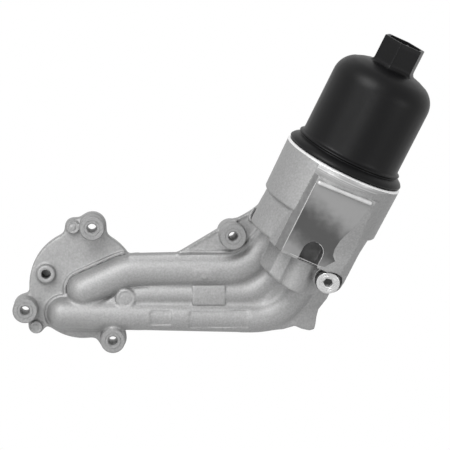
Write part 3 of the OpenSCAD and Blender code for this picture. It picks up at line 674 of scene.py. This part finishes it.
def loft(name, rings, smooth_under=30, closed=False):
    count = len(rings[0])
    faces = []
    for i in range(len(rings) if closed else len(rings) - 1):
        a, b = i * count, (i + 1) % len(rings) * count
        faces += [(a + k, a + (k + 1) % count, b + (k + 1) % count, b + k) for k in range(count)]
    if not closed:
        last = len(rings) * count - 1
        faces += [tuple(range(count)), tuple(range(last, last - count, -1))]
    piece = mesh_object(name, np.concatenate(rings) * MM, faces)
    shape = bmesh.new()
    shape.from_mesh(piece.data)
    bmesh.ops.recalc_face_normals(shape, faces=shape.faces)
    shape.to_mesh(piece.data)
    shape.free()
    piece.data.set_sharp_from_angle(angle=math.radians(smooth_under))
    return piece


def circle(radius):
    a = np.arange(RING_POINTS) * 2 * math.pi / RING_POINTS
    return np.stack([radius * np.cos(a), radius * np.sin(a)], 1)


def bowl_ring(flat, z):
    """A flat ring at height z on the bowl's axis, given in millimetres in the frame."""
    return RIM + np.column_stack([flat, np.full(len(flat), z)]) @ bowl_axes


def face_ring(centre):
    """Stands a flat ring on the mounting face round a centre."""
    return lambda flat, h: np.column_stack([centre[0] + flat[:, 0], np.full(len(flat), -h),
                                            centre[1] + flat[:, 1]])


def turned(name, profile, put):
    return loft(name, [put(circle(r), h) for r, h in profile], closed=True)


def gather(name, parts, body="housing", replaced=None):
    """Joins meshes into one piece, gives it its body and hides the node it stands for."""
    whole = bmesh.new()
    for part in parts:
        whole.from_mesh(part.data)
        bpy.data.objects.remove(part)
    mesh = bpy.data.meshes.new(name)
    whole.to_mesh(mesh)
    whole.free()
    piece = add_object(name, mesh)
    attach(piece, body)
    if replaced:
        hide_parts(replaced)
    print(name, "faces:", len(mesh.polygons))
    return piece


def boss_head(radius, top):
    return [(3.15, top - 3), (3.15, top - 0.7), (3.85, top), (5.3, top), (5.45, top - 0.2),
            (5.6, top), (radius - 0.6, top), (radius, top - 0.6), (radius, top - 1.1),
            (radius - 0.5, top - 1.3), (6, top - 3)]


heads = [turned("head", boss_head(radius, height), face_ring(boss))
         for boss, radius, height in BOLT_BOSSES]
boss_faces = gather("machined_boss_faces", heads)
rim_profile = [(36.1, -2), (36.1, -0.5), (36.6, 0), (41.2, 0), (42.3, -1.0), (42.3, -1.5), (41, -2)]
rim_face = gather("machined_rim", [turned("rim", rim_profile, bowl_ring)])

BAND_POINTS = 60
across = np.linspace(-20.5, 32, BAND_POINTS)
down = np.interp(across, (-20.5, -5.9, 8.2, 22.1, 26.9, 32), (-8.4, -7.9, -6.4, -4.6, -2.6, -1.3))
band = [RIM + np.column_stack([across, -np.sqrt(r * r - across * across), z]) @ bowl_axes
        for r, z in ((42.3, 0 * down - 1.2), (42.4, 0 * down - 1.4), (42.4, down),
                     (42.0, down - 0.3))]
quads = [(a, a + 1, a + 1 + BAND_POINTS, a + BAND_POINTS)
         for a in range(3 * BAND_POINTS) if a % BAND_POINTS < BAND_POINTS - 1]
band_face = gather("turned_band", [mesh_object("band", np.concatenate(band) * MM, quads)])

# %% [markdown]
# ## Milled pad
# The pad's face is a thin plate with the outline that the mill left, cut away round the pocket.
# A half-round bar runs along its top, and thin lines run along its edges; both carry a painted
# highlight.

# %% Pad face, bar and edges
def pocket_arc(radius, angles):
    return [(POCKET_AT[0] + radius * math.cos(a), POCKET_AT[1] + radius * math.sin(a))
            for a in angles]


PAD_FACE = np.array([
    (-20.2, -13.4), (19.6, -13.4), (18.9, -20.6), (17.7, -27), (16.2, -32.1), (13.8, -37.8),
    (12.1, -43.3), (11.5, -49.7), (12.4, -53.9), (15.6, -57), (10.8, -63.6), (6.6, -64.2),
    (6.6, -57.6), *pocket_arc(7.5, np.linspace(0.2, math.pi - 0.2, 14)), (-8.4, -57.6),
    (-8.4, -64.2), (-20.2, -64.2)])
pad_rings = [pad_points(*PAD_FACE.T, deep) for deep in (0.4, -0.12)]
pad_face = gather("milled_pad", [loft("pad", pad_rings)])


def half_rod(name, a, b, radius, low, high):
    """A rod with ball ends along the pad, whose axis stands proud of it by low and high."""
    a, b = np.array(a, float), np.array(b, float)
    way = (b - a) / np.linalg.norm(b - a)
    aside = np.array([-way[1], way[0]])
    ends = [(a, -math.cos(t), math.sin(t)) for t in np.linspace(0.1, math.pi / 2, 6)]
    ends += [(b, math.cos(t), math.sin(t)) for t in np.linspace(math.pi / 2, 0.1, 6)]
    rings = []
    for centre, along, wide in ends:
        middle = centre + way * along * radius
        out = low if centre is a else high
        rings.append(np.array([
            pad_points(*(middle + aside * radius * wide * math.cos(t)),
                       -out - radius * wide * math.sin(t))
            for t in np.linspace(0, 2 * math.pi, 17)[:-1]]))
    return loft(name, rings, 60)


arch = pocket_arc(7.2, np.linspace(0.45 * math.pi, 0, 6)) + [(6.3, -64.4)]
# The bar and the thin lines along the pad's edges carry a painted highlight in their material.
bars = [half_rod("bar", (-18.6, -12.3), (18.2, -10.6), 1.5, 0.9, 1.9)]
bars += [half_rod("edge", a, b, 0.16, 0, 0) for a, b in zip(arch[:-1], arch[1:])]
bars += [half_rod("edge", a, b, 0.18, -0.1, -0.1)
         for a, b in (((-20.6, -14), (-20.6, -63)), ((-14, -64.6), (8.4, -64.6)))]
pad_bar = gather("pad_bar", bars)

# %% [markdown]
# ## Filter cap
# The cap is one moulding: a screwed skirt, a flange with a ridge, the round body and a hollow
# hexagon for the spanner. Every ring of the loft has 96 points that sit closer together at the
# hexagon's corners, so the corners stay round, and circles use the same directions.

# %% Filter cap
HEX_TURN, HEX_AF, CAP_R, SHOULDER_R = 14, 27.0, 35.4, 16
SIDE_H, DOME_H, TOP_H, TUBE_FOOT = 55, 74, 91.5, 44.1
LAND_R, THREAD_R, CAP_INNER_R = 35.9, 35.0, 32.2
CAP_PITCH, THREAD_DEEP, THREAD_TOP, THREAD_END = 4, 0.8, -12.5, -29
CORNER_POINTS, SIDE_POINTS = 5, 16


def hexagon(across_flats, corner):
    reach = (across_flats / 2 - corner) / math.cos(math.pi / 6)
    points = []
    for side in range(6):
        c = math.radians(HEX_TURN + 60 * side)
        for k in range(CORNER_POINTS):
            a = math.radians(HEX_TURN + 60 * side + 15 * (k - 2))
            points.append((reach * math.cos(c) + corner * math.cos(a),
                           reach * math.sin(c) + corner * math.sin(a)))
        points += [None] * (SIDE_POINTS - CORNER_POINTS)
    points = points + points[:1]
    gap = SIDE_POINTS - CORNER_POINTS + 1
    for start in range(CORNER_POINTS - 1, RING_POINTS, SIDE_POINTS):
        a, b = np.array(points[start]), np.array(points[start + gap])
        for k in range(1, gap):
            points[start + k] = tuple(a + (b - a) * k / gap)
    return np.array(points[:RING_POINTS])


outer_hex = hexagon(HEX_AF, 0.9)
ways = outer_hex / np.linalg.norm(outer_hex, axis=1)[:, None]
angles = np.arctan2(ways[:, 1], ways[:, 0])


def shoulder(inset):
    radius = SHOULDER_R - inset
    return [(CAP_R - SHOULDER_R + radius * math.cos(math.radians(a)),
             SIDE_H + radius * math.sin(math.radians(a))) for a in range(0, 61, 6)]


def threaded(z):
    """The skirt's outer ring at height z, with a thread that fades out at both ends."""
    phase = (z / CAP_PITCH - angles / (2 * math.pi)) % 1
    crest = np.clip(np.abs(phase - 0.5) * 4 - 0.5, 0, 1)
    crest = crest * np.clip((THREAD_TOP - z) / 2, 0, 1) * np.clip((z - THREAD_END) / 1.5, 0, 1)
    radius = THREAD_R - THREAD_DEEP + THREAD_DEEP * np.clip(crest + (z > THREAD_TOP), 0, 1)
    return bowl_ring(ways * radius[:, None], z)


rings = [bowl_ring(outer_hex * 0.02, DOME_H + 1)]
rings += [bowl_ring(hexagon(HEX_AF - 4.5 + grow, 0.6), z)
          for grow, z in ((0, DOME_H + 1), (0, TOP_H - 0.4), (0.6, TOP_H))]
rings += [bowl_ring(hexagon(HEX_AF - shrink, 0.9), TOP_H - low)
          for shrink, low in ((0.9, 0), (0.25, 0.15), (0, 0.5))]
rings += [bowl_ring(outer_hex, z) for z in (88, 84, 80, 77)]
for t in np.linspace(0, 1, 9):
    wide = 1 - math.cos(t * math.pi / 2)
    rings.append(bowl_ring(outer_hex * (1 - wide) + ways * 18.6 * wide,
                           75.8 - 3.7 * math.sin(t * math.pi / 2)))
outside = [(22, 71.1)] + shoulder(0)[::-1] + [(CAP_R, z) for z in (48, 38, 28, 18, 12)]
outside += [
    (35.5, 10.4), (35.8, 9.5), (36.4, 9.0), (37.1, 8.7), (37.5, 8.3), (37.6, 7.8), (37.3, 7.2),
    (36.8, 6.8), (36.9, 6.3), (37.8, 5.7), (39.2, 4.9), (40.6, 3.8), (41.5, 2.6), (41.75, 1.8),
    (41.4, 1.0), (40.7, 0.5), (40.2, 0.3), (LAND_R, 0.3), (LAND_R, -3.8), (33.1, -3.82),
    (33.1, -7.18), (LAND_R, -7.2), (LAND_R, -9.5), (THREAD_R, -10.5)]
rings += [bowl_ring(ways * r, z) for r, z in outside]
rings += [threaded(z) for z in np.arange(-11.5, -29.2, -0.4)]
inside = [(34.2, -30), (31.8, -30), (31.4, -29.6), (31.4, 1), (CAP_INNER_R, 4)] + shoulder(3.2)
inside += [(18, 68.8), (16.2, 70), (0.2, 70)]
rings += [bowl_ring(ways * r, z) for r, z in inside]
cap_parts = [loft("shell", rings, 35)]

# The bypass valve's tube hangs from four posts, and a rib crosses the hexagon's hollow.
cap_parts.append(turned("tube", [(11.2, TUBE_FOOT), (11.2, 64), (6, 64), (6, 62.5), (9.2, 62.5),
                                 (9.2, TUBE_FOOT)], bowl_ring))
for quarter in range(4):
    arc = np.radians(np.linspace(20.4, 69.6, 9) + 90 * quarter)
    sector = [(r * math.cos(a), r * math.sin(a))
              for r, way in ((11.2, arc), (6.6, arc[::-1])) for a in way]
    cap_parts.append(loft("post", [bowl_ring(np.array(sector), z) for z in (63.8, 70.4)]))
along, aside = (np.array([math.cos(a), math.sin(a)])
                for a in np.radians([HEX_TURN + 60, HEX_TURN + 150]))
rib = np.array([along * p * 12.2 - aside * (1.5 + q)
                for p, q in ((-1, -0.8), (1, -0.8), (1, 0.8), (-1, 0.8))])
cap_parts.append(loft("rib", [bowl_ring(rib, z) for z in (DOME_H + 0.5, TOP_H - 1.5)]))
cap = gather("moulded_cap", cap_parts, "cap", "filter_cap")

# %% [markdown]
# ## Screw plug
# The plug's head has a chamfered rim and a hexagon socket. Its shank carries a thread of 1.5 mm
# pitch, which is cut away near the head and at the tip.

# %% Screw plug
PLUG_FACE, PLUG_THREAD_R, PLUG_PITCH = 4.25, 5.9, 1.5
plug_side = np.array([1.0, 0, 0])
plug_up = np.cross(plug_way, plug_side)


def plug_ring(flat, h):
    local = PLUG_AT + flat[:, :1] * plug_side + flat[:, 1:] * plug_up + h * plug_way
    return RIM + local @ bowl_axes


socket = hexagon(6.0, 0.25)
plug_ways = socket / np.linalg.norm(socket, axis=1)[:, None]
turns = np.arctan2(plug_ways[:, 1], plug_ways[:, 0])
rings = [plug_ring(socket * size, PLUG_FACE - low)
         for size, low in ((0.03, 4.6), (1, 4.4), (1, 0.9))]
rings += [plug_ring(plug_ways * r, PLUG_FACE + h) for r, h in (
    (3.7, -0.5), (4.1, -0.45), (4.2, -0.1), (4.4, 0), (5.5, 0), (5.65, -0.12), (5.8, 0),
    (7.3, 0), (7.7, -0.15), (7.95, -0.5), (8.0, -2.0), (8.5, -2.4), (8.5, -3.1), (8.3, -3.4),
    (5.9, -3.4))]
for h in np.arange(0, -10.2, -0.25):
    phase = (h / PLUG_PITCH - turns / (2 * math.pi)) % 1
    groove = np.abs(phase - 0.5) * 2 * 0.7 * np.clip((-1.5 - h) / 1.0, 0, 1)
    tip = 0.9 * np.clip((-9.0 - h) / 1.0, 0, 1)
    rings.append(plug_ring(plug_ways * (PLUG_THREAD_R - (groove + tip))[:, None], h))
plug = gather("threaded_plug", [loft("plug", rings, 35)], "plug", "screw_plug")

# %% [markdown]
# ## Valve springs
# Each spring is a round wire wound along its valve's axis.

# %% Springs of the two valves
TURN_STEPS, WIRE_SIDES = 24, 10
CHECK_TRAVEL, BYPASS_TRAVEL, VALVE_SEAT_Z = 2.5, 3.5, DOME_H - 11.5


def spring(name, replaced, body, foot, length, turns, radius, wire, fixed, travel):
    """A coil from a foot in the bowl's frame, whose fixed end is 0 at the foot or 1 at the top."""
    count = turns * TURN_STEPS
    rings = []
    for i in range(count + 1):
        a = 2 * math.pi * i / TURN_STEPS
        height = wire / 2 + (length - wire) * i / count
        ring = []
        for k in range(WIRE_SIDES):
            b = 2 * math.pi * k / WIRE_SIDES
            wide = radius + wire / 2 * math.cos(b)
            ring.append(in_frame(np.array(foot) + (wide * math.cos(a), wide * math.sin(a),
                                                   height + wire / 2 * math.sin(b))))
        rings.append(np.array(ring))
    piece = gather(name, [loft("wire", rings, 60)], body, replaced)
    fixed_at = in_frame(np.array(foot) + (0, 0, fixed * length)) * MM
    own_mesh(piece)
    return piece


check_spring = spring("wound_check_spring", "check_valve_spring", "housing",
                      (*VALVE_AT, -47 + 1.4), 5.65, 4, 3.6, 0.8, 1, CHECK_TRAVEL)
bypass_spring = spring("wound_bypass_spring", "bypass_spring", "cap",
                       (0, 0, TUBE_FOOT + 3.55), VALVE_SEAT_Z - 1.95 - TUBE_FOOT - 3.55,
                       5, 4.6, 1.0, 0, BYPASS_TRAVEL)

# %% [markdown]
# ## Materials
# Die-cast aluminium is shot-blasted, which leaves a matt grey skin with a fine even grain. Small
# patches are a little lighter or darker where the melt met the mould. The other materials are
# made in the same way from two colours, a range of roughness and a fine relief.

# %% Patches, grain and bands
# Size of the noise, and how far it shifts the edge of the pad's painted dark reflection.
REFLECTION_NOISE_MM, REFLECTION_EDGE_SHIFT = 6, 12


def grain_of(tree, size_mm, detail):
    """Noise whose spots are about size_mm across, in the piece's own space."""
    place = add_node(tree, "ShaderNodeTexCoord")
    return add_node(tree, "ShaderNodeTexNoise", {
        "Vector": place.outputs["Object"], "Scale": 1 / (size_mm * MM),
        "Detail": detail}).outputs["Fac"]


def finish_material(tree, shader):
    add_node(tree, "ShaderNodeOutputMaterial", {"Surface": shader.outputs[0]})


def grainy(name, dark, light, metal, rough, patch_mm, grain_mm, bump_mm, shine=0.5, tone=None):
    """Patches between two colours, with a fine relief; tone can bring its own factor."""
    material, tree = new_material(name)
    patches = grain_of(tree, patch_mm, 3.0)
    mix = add_node(tree, "ShaderNodeMix", {
        "Factor": tone(tree) if tone else patches, "A": linear(dark), "B": linear(light)},
        data_type="RGBA")
    relief = add_node(tree, "ShaderNodeBump", {
        "Height": grain_of(tree, grain_mm, 2.0), "Distance": bump_mm * MM, "Strength": 1.0})
    spread = add_node(tree, "ShaderNodeMapRange", {
        "Value": patches, "To Min": rough[0], "To Max": rough[1]})
    shader = add_node(tree, "ShaderNodeBsdfPrincipled", {
        "Metallic": metal, "Specular IOR Level": shine, "Roughness": spread.outputs["Result"],
        "Normal": relief.outputs["Normal"], "Base Color": mix.outputs["Result"]})
    finish_material(tree, shader)


def height_on(tree, axis, middle):
    """How far a point lies from a middle along an axis, in metres."""
    place = add_node(tree, "ShaderNodeTexCoord")
    level = add_node(tree, "ShaderNodeVectorMath", {
        0: place.outputs["Object"], 1: tuple(axis)}, operation="DOT_PRODUCT")
    return calculate(tree, "SUBTRACT", level.outputs["Value"], float(np.dot(middle, axis)) * MM)


def shade_band(axis, middle, half_mm, reach_mm):
    """A factor that is low on a band across an axis and grows away from it, broken up by noise."""
    def tone(tree):
        away = calculate(tree, "ABSOLUTE", height_on(tree, axis, middle))
        noise = grain_of(tree, REFLECTION_NOISE_MM, 5.0)
        rough_edge = calculate(tree, "MULTIPLY_ADD", noise, REFLECTION_EDGE_SHIFT * MM, away)
        start = half_mm + REFLECTION_EDGE_SHIFT / 2
        return add_node(tree, "ShaderNodeMapRange", {
            "Value": rough_edge, "From Min": start * MM, "From Max": (start + reach_mm) * MM},
            interpolation_type="SMOOTHSTEP").outputs["Result"]
    return tone


def shade_rings(tree):
    """Fine rings round the bowl, as a turning tool leaves them."""
    noise = add_node(tree, "ShaderNodeTexNoise", {
        "W": height_on(tree, bowl_axes[2], RIM), "Scale": 1 / (1.1 * MM), "Detail": 2.0},
        noise_dimensions="1D")
    return add_node(tree, "ShaderNodeMapRange", {
        "Value": noise.outputs["Fac"], "From Min": 0.35, "From Max": 0.65}).outputs["Result"]


# A painted dark reflection: a dark band across the milled pad that grows lighter away from it.
pad_painted_reflection = shade_band(0.95 * bowl_axes[2] + 0.3 * bowl_axes[0], in_frame((0, -PAD_OUT, -45)), 3, 20)
print("tones of its own for the pad and for the rim's band ready")

# %% [markdown]
# Each line gives the material's name, its dark and light colours, how metallic it is, its
# range of roughness, the size of its patches and grain and the height of its relief. Its shine
# and a tone of its own follow where they differ from the usual ones. Some lines paint shade, a
# highlight or a reflection into the colour, as noted beside them.

# %% Aluminium, steel, nylon, rubber and paper
LOOKS = (
    ("die_cast_aluminium", "#7A7A7A", "#A4A4A4", 0.4, (0.48, 0.58), 1.4, 0.9, 0.14),
    ("spot_faced_aluminium", "#707070", "#989898", 0.45, (0.4, 0.5), 1.4, 0.5, 0.1),
    ("milled_aluminium", "#DEDEDE", "#F0F0F0", 0.6, (0.24, 0.34), 5, 0.6, 0.02),
    # Its dark band is a painted dark reflection across the milled pad.
    ("milled_pad_aluminium", "#464646", "#8A8A8A", 0.25, (0.3, 0.42), 11, 0.7, 0.05, 0.5,
     pad_painted_reflection),
    ("turned_rim_aluminium", "#808080", "#B4B4B4", 0.4, (0.3, 0.4), 5, 0.6, 0.02, 0.5,
     shade_rings),
    # A painted highlight for the pad's bar and edge lines.
    ("deburred_edge_aluminium", "#B4B4B4", "#CECECE", 0.4, (0.3, 0.4), 4, 0.6, 0.02),
    ("glass_filled_nylon", "#050506", "#09090A", 0.0, (0.38, 0.46), 6, 0.5, 0.03, 0.17),
    ("nitrile_rubber", "#101010", "#181818", 0.0, (0.5, 0.62), 4, 0.3, 0.02, 0.2),
    ("zinc_plated_steel", "#B6B6B6", "#CACACA", 0.5, (0.22, 0.32), 3, 0.3, 0.01),
    # Painted shade for the plug's socket floor and the edge of its head.
    ("dark_socket_steel", "#2A2A2A", "#3C3C3C", 0.3, (0.3, 0.4), 3, 0.3, 0.02),
    ("drawn_spring_steel", "#85878A", "#9A9C9F", 1.0, (0.24, 0.34), 2, 0.3, 0.01),
    ("turned_aluminium", "#BDBDBE", "#CDCDCE", 0.8, (0.25, 0.35), 3, 0.3, 0.01),
    ("moulded_valve_nylon", "#2C2C2F", "#36363A", 0.0, (0.4, 0.5), 5, 0.3, 0.02, 0.3),
    ("moulded_element_nylon", "#3B3B40", "#47474C", 0.0, (0.42, 0.52), 5, 0.3, 0.02, 0.3),
    ("resin_treated_filter_paper", "#B98F4E", "#CDA867", 0.0, (0.75, 0.9), 2, 0.25, 0.06,
     0.3),
    # Painted shade in the pad's pocket.
    ("as_cast_pocket_aluminium", "#2C2C2C", "#606060", 0.2, (0.5, 0.6), 4, 0.5, 0.1),
    # Painted shade on the narrow wall beside the pad.
    ("trimmed_side_aluminium", "#5A5A5A", "#808080", 0.25, (0.42, 0.54), 3, 0.9, 0.12),
)
for look in LOOKS:
    grainy(*look)
print("materials:", len(bpy.data.materials))

# %% [markdown]
# ## Which face has which material
# Most pieces have one material. The casting's faces in the pocket and beside the pad get painted
# shade, and so do the plug's socket and the edge of its head.

# %% Materials on the new pieces
for piece, *names in (
        (housing, "die_cast_aluminium", "as_cast_pocket_aluminium", "trimmed_side_aluminium"),
        (boss_faces, "spot_faced_aluminium"), (rim_face, "milled_aluminium"),
        (band_face, "turned_rim_aluminium"), (pad_face, "milled_pad_aluminium"),
        (pad_bar, "deburred_edge_aluminium"), (cap, "glass_filled_nylon"),
        (plug, "zinc_plated_steel", "dark_socket_steel"),
        (check_spring, "drawn_spring_steel"), (bypass_spring, "drawn_spring_steel")):
    for name in names:
        piece.data.materials.append(bpy.data.materials[name])

centres = np.zeros(len(housing.data.polygons) * 3)
housing.data.polygons.foreach_get("center", centres)
x, y, z = ((centres.reshape(-1, 3) / MM - RIM) @ bowl_axes.T).T
u, v = turned_pad(x, y)
# Faces in the pocket get painted shade, darker than the cast skin round them.
pocket_painted_shade = ((v > 0.3 - PAD_OUT) & (v < POCKET_DEEP + 0.5 - PAD_OUT)
             & (pocket(u, v - 2, z) < 0.6))
# Faces of the narrow wall beside the pad's left edge get painted shade.
SIDE_RUN, SIDE_RISE = 3.6, 6
from_side = (np.abs((u + 20.8) * SIDE_RISE + (v + PAD_OUT) * SIDE_RUN)
             / math.hypot(SIDE_RISE, SIDE_RUN))
beside = (from_side < 0.45) & (u < -20.6) & (u > -24.6) & (z > -67) & (z < -1.5)
housing.data.polygons.foreach_set("material_index", (pocket_painted_shade + 2 * beside).astype(np.int32))
print("faces in the pocket:", int(pocket_painted_shade.sum()), "beside the pad:", int(beside.sum()))

# The floor of the plug's socket and the edge of its head get painted shade.
SOCKET_R, HEAD_EDGE_R = 2.9, 7.96
plug_centre, plug_out = Vector(in_frame(PLUG_AT) * MM), Vector(plug_way @ bowl_axes)
for face in plug.data.polygons:
    inward = face.center - plug_centre
    along = inward.dot(plug_out)
    wide = (inward - along * plug_out).length / MM
    if along > -MM and wide < SOCKET_R or along > 0 and wide > HEAD_EDGE_R:
        face.material_index = 1
print("dark faces on the plug:", sum(face.material_index for face in plug.data.polygons))

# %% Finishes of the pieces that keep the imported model's shape
FINISHES = {
    "nitrile_rubber": ("cap_seal", "plug_seal", "filter_bottom_seal", "inlet_port_seal",
                       "outlet_port_seal", "return_port_seal"),
    "turned_aluminium": ("standpipe", "check_valve_seat"),
    "moulded_valve_nylon": ("check_valve_disc", "check_valve_cage", "bypass_poppet",
                            "bypass_cage"),
    "resin_treated_filter_paper": ("filter_pleats",),
    "moulded_element_nylon": ("filter_top_disc", "filter_bottom_disc", "filter_core"),
}
for material, nodes in FINISHES.items():
    for node in nodes:
        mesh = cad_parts[node].data
        mesh.materials.clear()
        mesh.materials.append(bpy.data.materials[material])
print("finished nodes:", sum(len(nodes) for nodes in FINISHES.values()))

# %% [markdown]
# ## Studio
# The floor and the world are white to the camera, and the lamps stay at a plain level. A large
# soft lamp stands above and left of the camera. Three weaker ones light the cap's left side, the
# front and the right side.

# %% Floor, world and lamps
WHITE, WORLD_DIM, FLOOR_DROP = (1, 1, 1, 1), 0.26, 0.35
LIT = (0.1, -0.03, 0.05)
LAMPS = (
    ("key", (-0.35, -1.0, 1.0), 0.9, 18.5),
    ("left", (-0.85, -0.8, 0.3), 0.5, 1.6),
    ("front", (-0.4, -1.35, 0.0), 0.4, 3.5),
    ("right", (1.0, -0.9, -0.2), 0.5, 2.4),
)


def by_sight(tree, unseen, seen):
    """One shader for what the camera and reflections see, and another for all other light."""
    path = add_node(tree, "ShaderNodeLightPath").outputs
    sight = calculate(tree, "ADD", path["Is Camera Ray"], path["Is Glossy Ray"])
    sight = calculate(tree, "ADD", sight, path["Is Transmission Ray"], use_clamp=True)
    return add_node(tree, "ShaderNodeMixShader", {
        0: sight, 1: unseen.outputs[0], 2: seen.outputs[0]})


world = bpy.data.worlds.new("studio")
bpy.context.scene.world = world
world.use_nodes = True
world_tree = world.node_tree
world_tree.nodes.clear()
dim, white = (add_node(world_tree, "ShaderNodeBackground", {"Color": WHITE, "Strength": strength})
              for strength in (WORLD_DIM, 1.0))
both = by_sight(world_tree, dim, white)
add_node(world_tree, "ShaderNodeOutputWorld", {"Surface": both.outputs[0]})

floor_z = cad_box[0].z - FLOOR_DROP
floor = mesh_object("floor", [(x, y, floor_z) for x, y in ((-4, -4), (4, -4), (4, 6), (-4, 6))],
                    [(0, 1, 2, 3)])
floor_paint, floor_tree = new_material("pale_floor_paint")
matt = add_node(floor_tree, "ShaderNodeBsdfPrincipled", {
    "Base Color": linear("#F2F2F2"), "Roughness": 0.9})
glow = add_node(floor_tree, "ShaderNodeEmission", {"Color": WHITE, "Strength": 1.0})
finish_material(floor_tree, by_sight(floor_tree, matt, glow))
floor.data.materials.append(floor_paint)

for name, place, size, power in LAMPS:
    light = add_object(name, bpy.data.lights.new(name, "AREA"))
    light.data.shape, light.data.size, light.data.energy = "DISK", size, power
    light.location = place
    light.rotation_mode = "QUATERNION"
    light.rotation_quaternion = (Vector(LIT) - Vector(place)).to_track_quat("-Z", "Y")
print("lamps:", len(bpy.data.lights))

# %% End of the scene
print("scene built")
